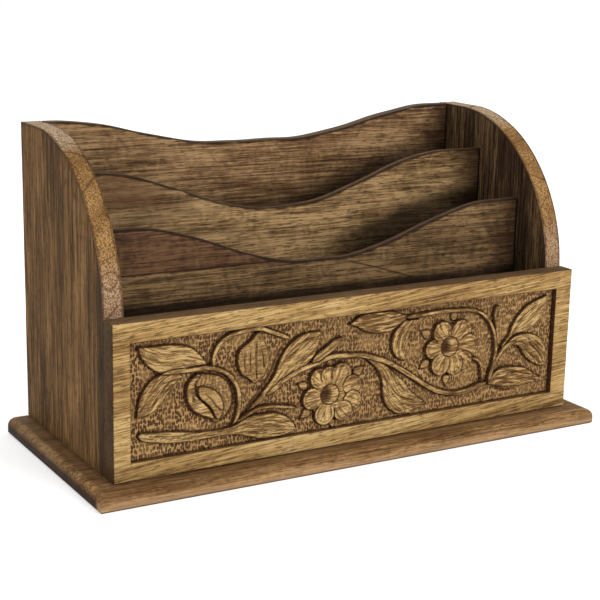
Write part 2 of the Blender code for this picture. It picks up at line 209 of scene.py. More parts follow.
def wavy_board(node, seed):
    low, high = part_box(node)
    board = grid_sheet(f"{node}_board", wavy_columns, wavy_rows)
    places = corners(board)
    across, upward = places[:, 0] + 0.5, places[:, 1] + 0.5
    x = low.x + (high.x - low.x) * across
    top = wave_top(node, x)
    top += edge_waver_depth * np.sin(x * 2 * pi / edge_waver_length + seed)
    z = low.z + (top - low.z) * upward
    y = np.full(len(x), (low.y + high.y) / 2)
    move_corners(board, np.column_stack((x, y, z)))
    keep_attribute(board, "to_rim", (top - z) / mm)
    edge_in_front = wave_top(IN_FRONT[node], x) if node in IN_FRONT else panel_top
    keep_attribute(board, "out_of_slot", (z - edge_in_front) / mm)
    return board_from(board, high.y - low.y, seed)


wavy_boards = {node: wavy_board(node, seed) for seed, node in enumerate(WAVES)}

# %% [markdown]
# ## The curved sides
# Each side has a quarter round at its top front corner. A plain grid would bunch up there, so
# the four edges of the sheet are laid along the board's outline first, and every inner point
# is blended from the four edges. Two opposite edges meet halfway round the curve.

# %% Curved sides
curve_radius = 80 * mm
side_columns = 44
side_rows = 60


def side_outline(along, low, straight):
    """The place at a length up the straight front edge, round the curve and over the top."""
    angle = np.clip((along - straight) / curve_radius, 0, pi / 2)
    over_top = np.maximum(along - straight - curve_radius * pi / 2, 0)
    y = low.y + curve_radius * (1 - np.cos(angle)) + over_top
    z = low.z + np.minimum(along, straight) + curve_radius * np.sin(angle)
    return np.column_stack((y, z))


def side_board(node, seed):
    low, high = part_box(node)
    board = grid_sheet(f"{node}_board", side_columns, side_rows)
    flat = corners(board)
    u, v = flat[:, 0:1] + 0.5, flat[:, 1:2] + 0.5
    straight = high.z - curve_radius - low.z
    halfway = straight + curve_radius * pi / 4
    whole = straight + curve_radius * pi / 2 + high.y - low.y - curve_radius
    front = side_outline(v[:, 0] * halfway, low, straight)
    top = side_outline(halfway + u[:, 0] * (whole - halfway), low, straight)
    rear = np.column_stack((np.full(len(v), high.y), low.z + (high.z - low.z) * v[:, 0]))
    under = np.column_stack((low.y + (high.y - low.y) * u[:, 0], np.full(len(u), low.z)))
    start, end = np.array((low.y, low.z)), np.array((high.y, low.z))
    middle = side_outline(np.array((halfway,)), low, straight)[0]
    far = np.array((high.y, high.z))
    blend = (1 - u) * front + u * rear + (1 - v) * under + v * top
    blend -= (1 - u) * (1 - v) * start + u * (1 - v) * end + (1 - u) * v * middle + u * v * far
    x = np.full(len(u), (low.x + high.x) / 2)
    move_corners(board, np.column_stack((x, blend)))
    centre = np.array((low.y + curve_radius, high.z - curve_radius))
    off_centre = np.clip((centre - blend) * (1, -1), 0, None)
    keep_attribute(board, "to_rim", (curve_radius - np.linalg.norm(off_centre, axis=1)) / mm)
    return board_from(board, high.x - low.x, seed)


side_boards = {node: side_board(node, seed) for node, seed in (("left_side", 7), ("right_side", 8))}

# %% [markdown]
# ## The carving's pattern
# The front panel's field holds a traditional vine with leaves, two buds and two flowers. A
# carver draws such a pattern on the board before cutting. Here the drawing is a set of points
# in millimetres, across and up from the board's lower left corner, and a smooth curve goes
# through them. A leaf has two edges, and both run from its foot to its tip.

# %% Leaves of the pattern
LEAVES = {
    "top_left": dict(veins=4, one=[
        (46.8, 51.3), (45.7, 53), (44, 55.2), (42, 57.3), (40, 59), (38, 60.1), (36, 60.8),
        (32.7, 61.5), (29.3, 62), (24.7, 62.3), (19.3, 62.3), (12.4, 62.6),
    ], two=[
        (46.8, 50.6), (40, 50.3), (34, 50), (28, 49.6), (23.3, 49.5), (21, 50.5), (19, 52),
        (17, 54), (15.3, 56), (14, 58.3), (13.2, 60.7), (12.4, 62.6),
    ]),
    "lower_left": dict(veins=2, one=[
        (33, 48.9), (27.3, 48.9), (24, 48.5), (21, 47.5), (18.3, 45.7), (16, 43.3), (14.3, 40.7),
        (13.2, 38), (12.5, 34.7), (11.8, 29.4),
    ], two=[
        (35.3, 46), (32.7, 44.9), (30.7, 43.2), (28.7, 41), (26.7, 38.3), (24.7, 35.3),
        (23, 33.3), (21, 31.7), (18.7, 30.7), (16, 30), (11.8, 29.4),
    ]),
    "long": dict(veins=5, one=[
        (12.4, 20.8), (13.4, 22), (16, 22), (20.7, 21.5), (26, 21.1), (32.7, 20.3), (39.3, 19),
        (43.3, 18.4), (50, 18.2), (56, 18.2), (60.5, 18.6), (63.4, 19.6), (66.3, 20.9),
        (68.8, 21.8), (72.2, 22.2), (75.9, 22.2), (79.7, 22.3), (83, 22), (85.5, 21.3),
        (88, 20.1), (90.9, 18.2), (93, 15.9), (95.3, 12.4),
    ], two=[
        (12.4, 20.8), (13.4, 19), (16, 17.7), (20, 16.7), (24.7, 15.7), (29.3, 15), (35.3, 14.5),
        (40.7, 14.3), (46, 14.5), (56, 14.7), (60.5, 14.3), (63, 14), (66.3, 13), (69.7, 11.8),
        (72.6, 10.9), (74.7, 10.2), (77.2, 9.9), (81.3, 9.7), (84.7, 9.7), (88.8, 10),
        (91.3, 10.5), (95.3, 12.4),
    ]),
    "big": dict(veins=4, one=[
        (66.3, 23.4), (68.4, 25.1), (70.9, 27.6), (73.6, 29.9), (76, 32.7), (78.2, 35.2),
        (80.7, 38), (82.7, 41.3), (84.3, 44.7), (85.7, 48), (87.7, 51.3), (90, 54), (92.7, 56.3),
        (96, 58), (100, 59), (104.7, 59.3), (108.1, 58.8),
    ], two=[
        (66.5, 22.9), (70, 25.2), (74.5, 27.6), (79, 29.8), (83, 31.8), (87, 35), (92, 38.3),
        (97, 41.5), (101, 44.3), (103.5, 46.8), (105.3, 49.3), (106.5, 52.5), (107.7, 56),
        (108.1, 58.8),
    ]),
    "top_middle": dict(veins=5, one=[
        (157, 61.5), (154, 62.4), (151.3, 63.7), (148.7, 64.4), (144.7, 64.8), (139.3, 65),
        (134, 64.8), (130.7, 64.2), (128, 63), (126, 61.8), (123.4, 60.6),
    ], two=[
        (157, 59.5), (153.3, 57.5), (150.7, 55.8), (148, 54.6), (144.7, 54.1), (140.7, 54.1),
        (136.7, 54.7), (133.3, 55.8), (130.7, 57.1), (128, 58.8), (123.4, 60.6),
    ]),
    "comma": dict(veins=2, one=[
        (156, 59), (153.5, 57), (151.3, 55), (149.7, 53.2), (148.7, 50.7), (148.3, 48),
        (148.7, 45.3), (150, 42.3), (152, 40), (154.7, 38.7), (156.9, 38),
    ], two=[
        (165, 58.6), (162, 55.3), (160.3, 52), (158.7, 48), (157.7, 44.7), (157, 41.3),
        (156.9, 38),
    ]),
    "under_vine": dict(veins=3, one=[
        (126, 44.2), (130.7, 43), (134.7, 41), (138, 38.3), (140.7, 35.3), (142.7, 32),
        (143.7, 28), (144.1, 23.3), (145, 19.3), (146.7, 16), (149.3, 13.3), (152.7, 11.3),
        (158, 10.3), (162, 11), (166, 12.3), (171, 13.7),
    ], two=[
        (134, 44), (139, 41.5), (143.3, 38.7), (146.7, 36.3), (150, 33.3), (153.3, 30.3),
        (156.7, 27.3), (159.3, 24), (162, 21.3), (165.3, 18.3), (168.7, 15.7), (171, 13.7),
    ]),
    "right_top": dict(veins=4, one=[
        (216, 38), (218.5, 40.8), (221, 43.8), (222, 46), (223, 48.7), (225, 51.7),
        (227.3, 54.3), (230.3, 57), (233.7, 58.9), (237, 60.2), (241, 61.4), (245.2, 62.7),
    ], two=[
        (217.5, 37.8), (221, 41.3), (224.3, 43.7), (227.7, 44.3), (231.7, 44.7), (235.7, 46),
        (239.7, 48.7), (242.3, 52), (244, 56), (244.7, 60), (245.2, 62.7),
    ]),
    "right_middle": dict(veins=2, one=[
        (219, 39), (224.2, 42.2), (226.7, 42.8), (229.2, 43.3), (232.5, 43.3), (235.8, 42.7),
        (238.8, 41.6), (241.7, 39.7), (243.8, 37.6), (245.2, 35.4), (245.8, 32), (245.9, 28),
        (245.6, 24),
    ], two=[
        (219, 37), (222.5, 37.7), (225.4, 37.5), (227.9, 36.7), (229.6, 35), (231, 32.5),
        (233.3, 30), (235.8, 27.9), (238.8, 26.2), (241.7, 24.8), (245.6, 24),
    ]),
    "right_low": dict(veins=3, one=[
        (209.5, 21), (212.1, 24), (214.6, 25.5), (217.5, 26.4), (220.8, 26.6), (225, 26.2),
        (229.2, 25.6), (232.9, 24.7), (235.4, 23.1), (238.3, 21.2), (241.3, 19.4), (244.3, 18.2),
    ], two=[
        (209, 18.6), (214.6, 17.1), (217.5, 16.3), (221.7, 15.9), (225.8, 15.6), (229.2, 15.2),
        (233.3, 15.3), (237.5, 16), (241.7, 17), (244.3, 18.2),
    ]),
    "spike": dict(veins=1, one=[
        (213.8, 39.5), (213, 44), (212.2, 48), (211.4, 51.5), (210.8, 55), (210.9, 58),
        (211.8, 59.8), (213.2, 60.3),
    ], two=[
        (215.4, 39.5), (215, 44), (214.9, 48), (215, 52), (215.3, 55.5), (215.3, 58.3),
        (214.5, 59.9), (213.2, 60.3),
    ]),
}
print("leaves drawn:", len(LEAVES))

# %% [markdown]
# The vines are drawn as a width and a middle line. A bud is a few closed outlines laid one on
# another, each with the level of its top. A flower is a boss with petals round it, and small
# sepals show between them.

# %% Vines, buds and flowers of the pattern
VINES = {
    "left": dict(width=2.4, line=[
        (24.5, 49), (31, 49.2), (38, 48.9), (45, 48.9), (50, 48.2), (54, 46.6), (57.5, 44.6),
        (60.5, 41.6), (62.6, 38), (63.8, 34), (64.1, 30), (63.7, 26), (62.6, 22.6), (60.5, 19.5),
    ]),
    "over_bud": dict(width=2.3, line=[
        (50.3, 48.5), (50.5, 52), (51.3, 55.5), (53.2, 58.8), (56.5, 61.4), (61, 63.3),
        (66, 64.1), (71, 64.5), (75.5, 64.1), (79, 62.7), (83, 61), (87, 59.3), (91, 57.6),
    ]),
    "low_left": dict(width=1.7, line=[
        (62, 20.3), (65.9, 21.9), (68.4, 23.1), (71.8, 24.5), (75.1, 25.2), (78.4, 25.4),
        (81.8, 25.2), (85.5, 24.6), (90.1, 23.7), (95.5, 22.8),
    ]),
    "main": dict(width=2.8, line=[
        (78, 31.4), (82, 33.4), (86, 36.3), (90.5, 38.6), (95.5, 40.7), (101, 42.3), (106, 43.8),
        (110.5, 45.1), (115, 45.7), (120, 45.4), (125, 44.9), (130, 44.3), (134.5, 43.3),
        (139, 41.7), (143, 40.2), (147, 38.4), (151, 36.1), (155, 33.6), (159, 31),
        (163.3, 28.2), (168.5, 24.5), (172.5, 22), (177, 19.7), (182, 18), (187, 17),
        (192, 16.8), (197, 17.4), (202, 18.7), (208, 20.2),
    ]),
    "shoot": dict(width=4.2, line=[
        (103, 44.4), (108, 47.1), (112.6, 49.7), (116.2, 52.1), (119.6, 54.6),
    ]),
    "top": dict(width=2.1, line=[
        (156, 60.4), (165, 60.6), (175, 61), (184, 60.8), (191, 60.3), (196, 59.8),
        (200.3, 58.6), (204, 56.6), (207, 53.8), (209.5, 50.2), (211.4, 46.2), (212.5, 42.3),
        (213, 38.4), (212.9, 34.5), (212, 30.5), (210.8, 26.5), (209.2, 21.5),
    ]),
    "right": dict(width=2.4, line=[
        (208.8, 20), (211.3, 26.5), (213.8, 31.8), (216.6, 35.4), (220, 38), (226, 40),
    ]),
    "tendril": dict(width=1.9, line=[
        (205, 20.5), (205, 25), (204.6, 28), (203.6, 30.6), (201.8, 32.6), (199.5, 33.8),
        (196.5, 34.3),
    ]),
}
BUDS = {
    "low": dict(
        body=(-1.2, 0.7, [
            (43.5, 46.2), (40.5, 45.5), (37.7, 43.3), (36.3, 40), (36.3, 36.7), (37, 33.3),
            (38.7, 30), (40.7, 28), (43.3, 26), (46.7, 24.7), (49.3, 23.3), (52.7, 21.5),
            (55.5, 23.3), (58, 25.6), (59.8, 28.5), (60.4, 32), (60, 36), (58.8, 39),
            (56.8, 41.6), (53.8, 43.9), (50, 45.3), (46.5, 46),
        ]),
        sepal=(-0.5, 0, [
            (42.8, 46.6), (40.3, 45.3), (38, 43.2), (36.8, 40), (36.8, 36.7), (37.6, 33.3),
            (39.3, 30.3), (41.5, 28.2), (44.5, 26.3), (48, 24.9), (50.6, 23.6), (51.2, 24.6),
            (49.7, 27.3), (47.7, 30), (45.3, 32.6), (42.9, 34.7), (41.3, 36.7), (41, 39.5),
            (41.2, 42.5), (43.6, 44.8),
        ]),
        petal=(-0.35, 0.3, [
            (43.3, 40.3), (47.3, 39.6), (50.7, 37.9), (53.2, 35.6), (54.9, 32.8), (55.6, 29.8),
            (55.4, 26.6), (54.2, 24.1), (52.7, 23.3), (51.4, 24.6), (50.1, 27.5), (48.3, 30.2),
            (46, 32.5), (43.8, 34.4), (42.6, 36.7), (42.4, 38.8),
        ]),
    ),
    "high": dict(
        body=(-0.5, 0.45, [
            (73.3, 62.6), (70.9, 60.2), (68.2, 58.2), (65.5, 56.5), (63.8, 54.7), (62.9, 52),
            (63, 48.7), (64, 45.2), (65.4, 42.9), (68, 41.2), (70, 39.6), (71.9, 37.9),
            (74.7, 39.2), (77, 41.3), (78.8, 44.4), (79.6, 48), (79.4, 51.5), (78.3, 54.9),
            (77, 58.2), (75.5, 61.8),
        ]),
    ),
}
FLOWERS = {
    "low": dict(boss=(113.4, 26.9), heart=11.6, cut=(3.2, 5.2), petals=[
        (103.6, 25.8, 5.5), (107.2, 35.6, 5.1), (112.6, 36.6, 4.6), (119.7, 36.5, 5.6),
        (126, 30, 5.3), (126.2, 22, 5.3), (121, 17.6, 5.3), (110.6, 17.2, 5.6),
    ], sepals=[
        (99.4, 32.6, 2.2), (101.2, 18.8, 2.4), (115.8, 11.9, 1.9), (113.8, 42.4, 1.8),
        (129.5, 35.8, 2.6),
    ]),
    "high": dict(boss=(183.6, 42.2), heart=11.4, cut=(2.8, 4.6), petals=[
        (173.9, 41.8, 5.2), (178.9, 50.2, 5.7), (190.4, 49.4, 6.2), (195.2, 41.4, 6.2),
        (192.6, 34, 5.2), (186.8, 32.2, 5.4), (178.2, 33.4, 5.6),
    ], sepals=[
        (170.2, 49.8, 2.4), (170, 34.6, 2.4), (186.4, 57.4, 2.3), (183, 25, 2.2),
    ]),
}
print("vines drawn:", len(VINES), "and flowers:", len(FLOWERS))

# %% [markdown]
# Last come single cuts with a gouge: a width, a depth and a line. They are the dark hollows
# beside a stem, the slits in the buds and the longest strokes in the leaves.

# %% Single cuts of the pattern
CUTS = [
    (1.3, 3.0, [(47.4, 51.3), (48.6, 54.5), (50, 57.6), (51.6, 60.5)]),
    (2.2, 3.3, [
        (53.2, 45.5), (57.2, 43.1), (60, 39), (61.2, 34), (61, 29.5), (59.4, 25.8), (56, 22.7),
        (52.4, 20.9),
    ]),
    (2.0, 3.2, [
        (68, 25.6), (70, 27.9), (73, 31), (75.7, 34.3), (79, 38.6), (81.3, 42.4), (82.9, 46),
        (84.6, 49.6), (87, 53),
    ]),
    (1.8, 3.4, [(213.8, 16.4), (216.7, 15.2), (218.8, 14.3), (221.7, 13.5), (225, 13.6)]),
    (0.9, 2.9, [
        (66, 23.1), (69, 24.8), (72, 25.9), (75.5, 26.4), (79, 26.7), (83, 26.3), (88, 25.6),
        (95, 24.6),
    ]),
    (0.9, 1.6, [(72.6, 58.3), (72.4, 52), (72.5, 46), (72.8, 40.5)]),
    (0.9, 1.5, [(75.1, 55.5), (76.2, 50), (76.8, 45.3)]),
    (0.8, 1.2, [(69.6, 55), (69.2, 50), (69.6, 44.5)]),
    (0.9, 1.2, [(66.6, 53), (66.2, 48.5), (66.9, 44.5)]),
    (1.1, 2.4, [
        (41.4, 42.6), (41.7, 39.3), (42, 36.8), (43.9, 33.9), (46.7, 31.2), (48.9, 28.5),
        (50.4, 25.6), (51.3, 23.6),
    ]),
    (2.2, 1.9, [(39.9, 37.4), (40.3, 34.4)]),
    (0.9, 1.2, [(50.4, 31.5), (52.4, 29.4), (54.2, 27.4)]),
    (0.9, 1.2, [(46.2, 36.2), (49.4, 33.4), (51.8, 29.2)]),
    (1.7, 1.7, [(213.3, 58.2), (212.9, 54.6)]),
    (0.9, 1.4, [(90.7, 50.7), (94, 53.3), (98, 55.3), (103.3, 56.7)]),
    (0.8, 1.2, [(85.3, 44.5), (88.7, 48), (92, 49.8), (95.3, 51.8)]),
    (0.8, 1.2, [(92.7, 44), (98, 46.9)]),
    (1.0, 1.9, [(233.8, 39.5), (235.8, 37.4), (238.8, 34.5), (241.7, 31.2), (244.2, 28.2)]),
    (0.7, 1.2, [(225, 39.7), (229.2, 39.1), (232.5, 38), (235, 36.6)]),
    (1.3, 1.3, [(230.8, 36.2), (234.6, 32.8), (237.5, 30.3), (241.7, 26.6)]),
    (1.5, 1.5, [(238.8, 37.8), (241, 36.4), (243.8, 34)]),
    (1.2, 1.4, [(220, 22.4), (225, 23.6), (231.7, 22), (235.4, 21.2)]),
    (0.8, 1.2, [(212.5, 21.6), (218, 20.5), (226, 19.3), (236, 18.7)]),
    (0.9, 1.5, [(145.6, 30.7), (148.7, 26), (152, 22), (156.7, 18.8), (162.7, 17)]),
    (0.8, 1.2, [(146, 22.7), (147.6, 18.7), (150.7, 15.2), (153.3, 12.6)]),
    (0.8, 1.2, [(155.3, 16.7), (157.6, 11.6)]),
    (0.8, 1.2, [(151.3, 28.7), (155.3, 24.7), (159.3, 21.5)]),
    (0.9, 1.3, [(151.7, 51), (155.3, 55.6)]),
    (0.9, 1.3, [(150.9, 45), (153.3, 51), (159.3, 57)]),
    (0.9, 1.3, [(155.8, 43.5), (156.9, 48), (159.7, 52.6)]),
    (0.8, 1.3, [(64, 16.6), (70, 17.6), (77, 18.6), (84, 18)]),
    (0.8, 1.2, [(67, 14.6), (74, 14.2), (82, 14.6), (89, 13.8)]),
    (0.8, 1.1, [(17, 20), (25, 19), (36, 17.6)]),
    (0.8, 1.1, [(42, 16.4), (50, 16), (58, 16.4)]),
    (0.9, 1.4, [(14.9, 35.6), (18, 39.1), (25.3, 45.1)]),
    (0.9, 1.4, [(16.6, 32.6), (21.3, 36.4), (29.3, 43.3)]),
    (0.8, 1.2, [(226, 49), (231, 53.8), (238, 58)]),
    (0.8, 1.2, [(229, 47.4), (234.4, 50.4), (240, 56)]),
]
print("single cuts:", len(CUTS))

# %% [markdown]
# ## Helpers for the carving
# The relief is a height for every point of the panel's face. To find it, each form needs to
# know how far a point lies from its outline, and whether the point is inside. The curve is the
# one that Catmull and Rom gave: it goes through every point that was drawn.

# %% Curves and distances
curve_steps = 5


def smooth_line(points, closed=False):
    path = np.array(points, float)
    if closed:
        path = np.vstack((path[-1], path, path[:2]))
    else:
        path = np.vstack((2 * path[0] - path[1], path, 2 * path[-1] - path[-2]))
    a, b, c, d = (part[:, None, :] for part in (path[:-3], path[1:-2], path[2:-1], path[3:]))
    t = (np.arange(curve_steps) / curve_steps)[None, :, None]
    curve = 2 * b + (c - a) * t
    curve = curve + (2 * a - 5 * b + 4 * c - d) * t**2 + (3 * b - a - 3 * c + d) * t**3
    curve = curve.reshape(-1, 2) / 2
    return curve if closed else np.vstack((curve, path[-2]))


def nearest_on(line, points):
    """Each point's distance to the line, the length up to its foot, and that foot."""
    far = np.full(len(points), np.inf)
    along = np.zeros(len(points))
    foot = np.zeros((len(points), 2))
    before = 0
    for start, end in zip(line, line[1:]):
        length = np.linalg.norm(end - start)
        if length == 0:
            continue
        share = np.clip((points - start) @ (end - start) / length**2, 0, 1)
        place = start + share[:, None] * (end - start)
        away = np.linalg.norm(points - place, axis=1)
        closer = away < far
        far[closer] = away[closer]
        along[closer] = before + share[closer] * length
        foot[closer] = place[closer]
        before += length
    return far, along, foot


def inside(outline, points):
    """Counts how many edges of the outline lie to the right of each point: odd is inside."""
    odd = np.zeros(len(points), bool)
    x, z = points.T
    for (x1, z1), (x2, z2) in zip(outline, np.roll(outline, -1, axis=0)):
        if z1 != z2:
            odd ^= ((z1 > z) != (z2 > z)) & (x < (x2 - x1) * (z - z1) / (z2 - z1) + x1)
    return odd


def evenly(line, count):
    """The same line with evenly spaced points."""
    steps = np.linalg.norm(np.diff(line, axis=0), axis=1)
    done = np.concatenate(([0], np.cumsum(steps)))
    where = np.linspace(0, done[-1], count)
    return np.column_stack([np.interp(where, done, line[:, axis]) for axis in (0, 1)])


print("a line drawn with 3 points gets", len(smooth_line([(0, 0), (5, 2), (9, 0)])))

# %% [markdown]
# ## The relief
# A carver sinks the ground first and leaves the forms standing, then rounds each form and cuts
# its strokes. The relief does the same: it starts as ground everywhere, and each form is laid
# over what is there. Points close to an outline are pulled onto it, so that the edge is crisp
# however the grid lies. Five things are kept for every point: its height, how much stain stays
# there, how far it is punched, how far the next outline is, and which way the strokes run. The
# line along an outline is broader towards the lower right, where less was rubbed off.

# %% The relief
ground_level = -2.8
deepest_level = -3.4
snap_reach = 0.2
on_outline = 0.02
ditch_width, ditch_depth = 0.38, 0.4
edge_stain, edge_stain_width = 0.5, 0.25
lower_right = (0.86, -0.51)
line_share, line_swing = 0.64, 0.28
no_line = 2.0


class Relief:
    def __init__(self, points):
        self.points = points
        self.places = points.copy()
        self.height = np.full(len(points), ground_level)
        self.stain = np.zeros(len(points))
        self.punched = np.ones(len(points))
        self.outline = np.full(len(points), no_line)
        self.strokes = np.column_stack((points, np.zeros(len(points))))
        self.forms = 0

    def near(self, line, margin=1.6):
        low, high = line.min(0) - margin, line.max(0) + margin
        return np.flatnonzero(((self.points > low) & (self.points < high)).all(1))

    def lay(self, outline, top, rounding, shape=None, punched=0.0, strokes=None, fall=0.4):
        """Lays one form: shape gives what is cut from its top and how much stain stays there."""
        chosen = self.near(outline)
        points = self.points[chosen]
        far, _, foot = nearest_on(np.vstack((outline, outline[:1])), points)
        within = inside(outline, points) | (far < on_outline)
        close = far < snap_reach
        self.places[chosen[close]] = foot[close]
        edge = np.clip(far / rounding, 0, 1)
        level = top - fall * (1 - edge) ** 2
        stain = edge_stain * np.exp(-((far / edge_stain_width) ** 2))
        if shape is not None:
            cut, dark = shape(points, far)
            level = level - cut
            stain = np.maximum(stain, dark)
        ditch = np.exp(-((far / ditch_width) ** 2))
        inner, outer = chosen[within], chosen[~within]
        self.height[inner] = level[within]
        self.stain[inner] = stain[within]
        self.punched[inner] = punched
        outward = (foot - points) / np.maximum(far, 0.01)[:, None]
        share = line_share - line_swing * (outward @ lower_right)
        self.outline[inner] = (share * far)[within]
        self.forms += 1
        if strokes is None:
            strokes = points
        self.strokes[inner] = np.column_stack((strokes, np.full(len(points), self.forms)))[within]
        self.height[outer] -= ditch_depth * ditch[~within]
        self.stain[outer] = np.maximum(self.stain[outer], ditch[~within])
        self.outline[outer] = np.minimum(self.outline[outer], far[~within])


print("a relief starts at", ground_level, "mm")

# %% [markdown]
# ### Leaves
# A leaf is hollowed between its two edges, and the gouge leaves a few broken strokes from foot
# to tip. So the leaf needs its own two directions: along, and across from one edge to the
# other. A lattice of points between the edges gives them, and each point of the face takes
# those of its nearest lattice point, corrected by how far it lies from it.

# %% Leaves
lattice_long = 60
lattice_wide = 17
leaf_top, leaf_rounding, leaf_fall = -0.3, 1.2, 1.0
bowl_depth, bowl_stain, full_bowl_width = 0.5, 0.1, 7
stroke_depth, stroke_stain, stroke_width, stroke_margin = 0.5, 0.9, 0.22, 1.1
lane_swing = 0.22


def leaf_lattice(one, two):
    first = evenly(smooth_line(one), lattice_long)[:, None]
    second = evenly(smooth_line(two), lattice_long)[:, None]
    across = np.linspace(0, 1, lattice_wide)[None, :, None]
    return first * (1 - across) + second * across


def leaf_directions(lattice, points):
    """Where each point lies on the leaf: along and across, both from 0 to 1."""
    knots = lattice.reshape(-1, 2)
    nearest = np.array([((knots - point) ** 2).sum(1).argmin() for point in points])
    row, column = np.divmod(nearest, lattice_wide)
    step_along, step_across = np.gradient(lattice, axis=(0, 1))
    rest = points - knots[nearest]
    result = []
    parts = ((row, step_along, lattice_long), (column, step_across, lattice_wide))
    for index, step, count in parts:
        way = step.reshape(-1, 2)[nearest]
        more = (rest * way).sum(1) / np.maximum((way**2).sum(1), 1e-4)
        result.append((index + np.clip(more, -1, 1)) / (count - 1))
    return result


def lay_leaf(relief, one, two, veins):
    lattice = leaf_lattice(one, two)
    outline = np.vstack((smooth_line(one), smooth_line(two)[::-1]))
    chosen = relief.near(outline)
    along, across = leaf_directions(lattice, relief.points[chosen])
    length = np.linalg.norm(np.diff(lattice[:, lattice_wide // 2], axis=0), axis=1).sum()
    width = np.linalg.norm(lattice[:, 0] - lattice[:, -1], axis=1)
    wide_here = np.interp(along, np.linspace(0, 1, lattice_long), width)
    seed = relief.forms

    def gouged(points, far):
        bowl = np.clip(4 * across * (1 - across), 0, 1)
        bowl = bowl * np.clip(wide_here / full_bowl_width, 0.15, 1)
        lane = across * (veins + 1) + lane_swing * np.sin(9 * along + seed)
        stroke = np.clip(1 - np.abs((lane + 0.5) % 1 - 0.5) / stroke_width, 0, 1)
        number = np.floor(lane + 0.5)
        broken = np.sin(along * (11 + 3 * np.sin(2.3 * number + seed)) + 2.7 * number + seed)
        broken = np.clip(0.35 + 1.1 * broken, 0, 1)
        deep = stroke * broken * np.clip(far / stroke_margin, 0, 1)
        dark = np.clip(bowl_stain * bowl + stroke_stain * deep, 0, 1)
        return bowl_depth * bowl + stroke_depth * deep, dark

    strokes = np.column_stack((along * length, (across - 0.5) * wide_here))
    relief.lay(outline, leaf_top, leaf_rounding, gouged, strokes=strokes, fall=leaf_fall)


print("a leaf's lattice has", lattice_long, "by", lattice_wide, "points")

# %% [markdown]
# ### Vines
# A vine is a round stem that thins out and sinks where it grows from another one. Its outline
# is the middle line, moved to both sides by half its width.

# %% Vines
vine_top, vine_rounding = -0.35, 0.7
vine_drop, ridge_depth = 0.45, 0.08
vine_stain, ridge_stain = 0.3, 0.12
vine_points = 90
thin_end = 4.0


def lay_vine(relief, width, line):
    middle = evenly(smooth_line(line), vine_points)
    way = np.gradient(middle, axis=0)
    way /= np.linalg.norm(way, axis=1)[:, None]
    side = np.column_stack((-way[:, 1], way[:, 0]))
    length = np.linalg.norm(np.diff(middle, axis=0), axis=1).sum()
    done = np.linspace(0, length, len(middle))
    slim = np.clip(np.minimum(done, length - done) / thin_end, 0.12, 1) ** 0.5
    half = (width / 2 * slim)[:, None]
    outline = np.vstack((middle + side * half, (middle - side * half)[::-1]))
    chosen = relief.near(outline)
    off, along, _ = nearest_on(middle, relief.points[chosen])

    def rounded(points, far):
        share = np.clip(off / (width / 2), 0, 1)
        ridge = 0.5 + 0.5 * np.sin(off * 5.5 + 0.4 * np.sin(along * 0.8))
        dark = vine_stain * share**2 + ridge_stain * ridge
        return vine_drop * share**2.5 + ridge_depth * ridge, dark

    strokes = np.column_stack((along, off))
    relief.lay(outline, vine_top, vine_rounding, rounded, strokes=strokes)


print("a vine's middle line has", vine_points, "points")

# %% [markdown]
# ### Flowers and buds
# A flower's petals are round lobes with a raised rim and a shallow groove inside it. They run
# together round the boss, where the carver smoothed them into one plate with a few rays. The
# boss is a dome with one deep, dark cut down its left side. Pointed sepals lie lower behind.

# %% Outlines for flowers
circle_points, drop_points = 32, 26
round_reach = 7


def circle(x, z, radius):
    turn = np.linspace(0, 2 * pi, circle_points, endpoint=False)
    return np.column_stack((x + radius * np.cos(turn), z + radius * np.sin(turn)))


def drop_outline(x, z, radius, tip):
    """A circle drawn out to a tip."""
    out = np.array(tip) - (x, z)
    far = np.linalg.norm(out)
    out = out / far
    side = np.array((-out[1], out[0]))
    touch = pi - np.arccos(radius / far)
    turn = np.linspace(-touch, touch, drop_points)[:, None]
    arc = np.array((x, z)) - radius * (np.cos(turn) * out + np.sin(turn) * side)
    return np.vstack((arc, np.array(tip)))


def about(boss, points):
    """How far points lie from the boss, and their way round it in millimetres."""
    out = points - boss
    return np.linalg.norm(out, axis=1), np.arctan2(out[:, 1], out[:, 0]) * round_reach


def away_from(boss, middle):
    return (middle - boss) / np.linalg.norm(middle - boss)


print("a sepal's outline has", len(drop_outline(0, 0, 2, (0, 4))), "points")

# %% Sepals and petals
sepal_top, sepal_reach, sepal_punched = -1.9, 1.9, 0.5
petal_top, petal_rounding = -0.4, 0.9
groove_depth, groove_stain, spoon_depth = 0.28, 0.62, 0.32


def lay_sepal(relief, boss, x, z, radius):
    middle = np.array((x, z))
    outline = drop_outline(x, z, radius, middle + sepal_reach * radius * away_from(boss, middle))
    relief.lay(outline, sepal_top, petal_rounding, punched=sepal_punched)


def lay_petal(relief, boss, x, z, radius):
    middle = np.array((x, z))
    out = away_from(boss, middle)
    outline = circle(x, z, radius)
    strokes = np.column_stack(about(boss, relief.points[relief.near(outline)]))

    def spooned(points, far):
        forth = (points - middle) @ out / radius
        lobe = np.clip((forth + 0.9) / 0.6, 0, 1)
        groove = np.exp(-(((far - 1.7) / 0.5) ** 2)) * lobe
        bowl = np.clip((far - 1.2) / 1.4, 0, 1) * lobe
        return groove_depth * groove + spoon_depth * bowl, groove_stain * groove

    relief.lay(outline, petal_top, petal_rounding, spooned, strokes=strokes)


print("a petal's top lies", -petal_top, "mm under the frame round the field")

# %% The heart and the boss
heart_top, heart_rounding = -0.8, 1.5
calm_top, calm_edge, calm_run = -0.78, 8.3, 1.6
ray_spacing, ray_width, ray_depth, ray_stain = 2.6, 0.22, 0.15, 0.5
boss_top, boss_radius, boss_rounding, boss_rise = -0.5, 5.2, 1.4, 0.35
hollow_depth = 2.2


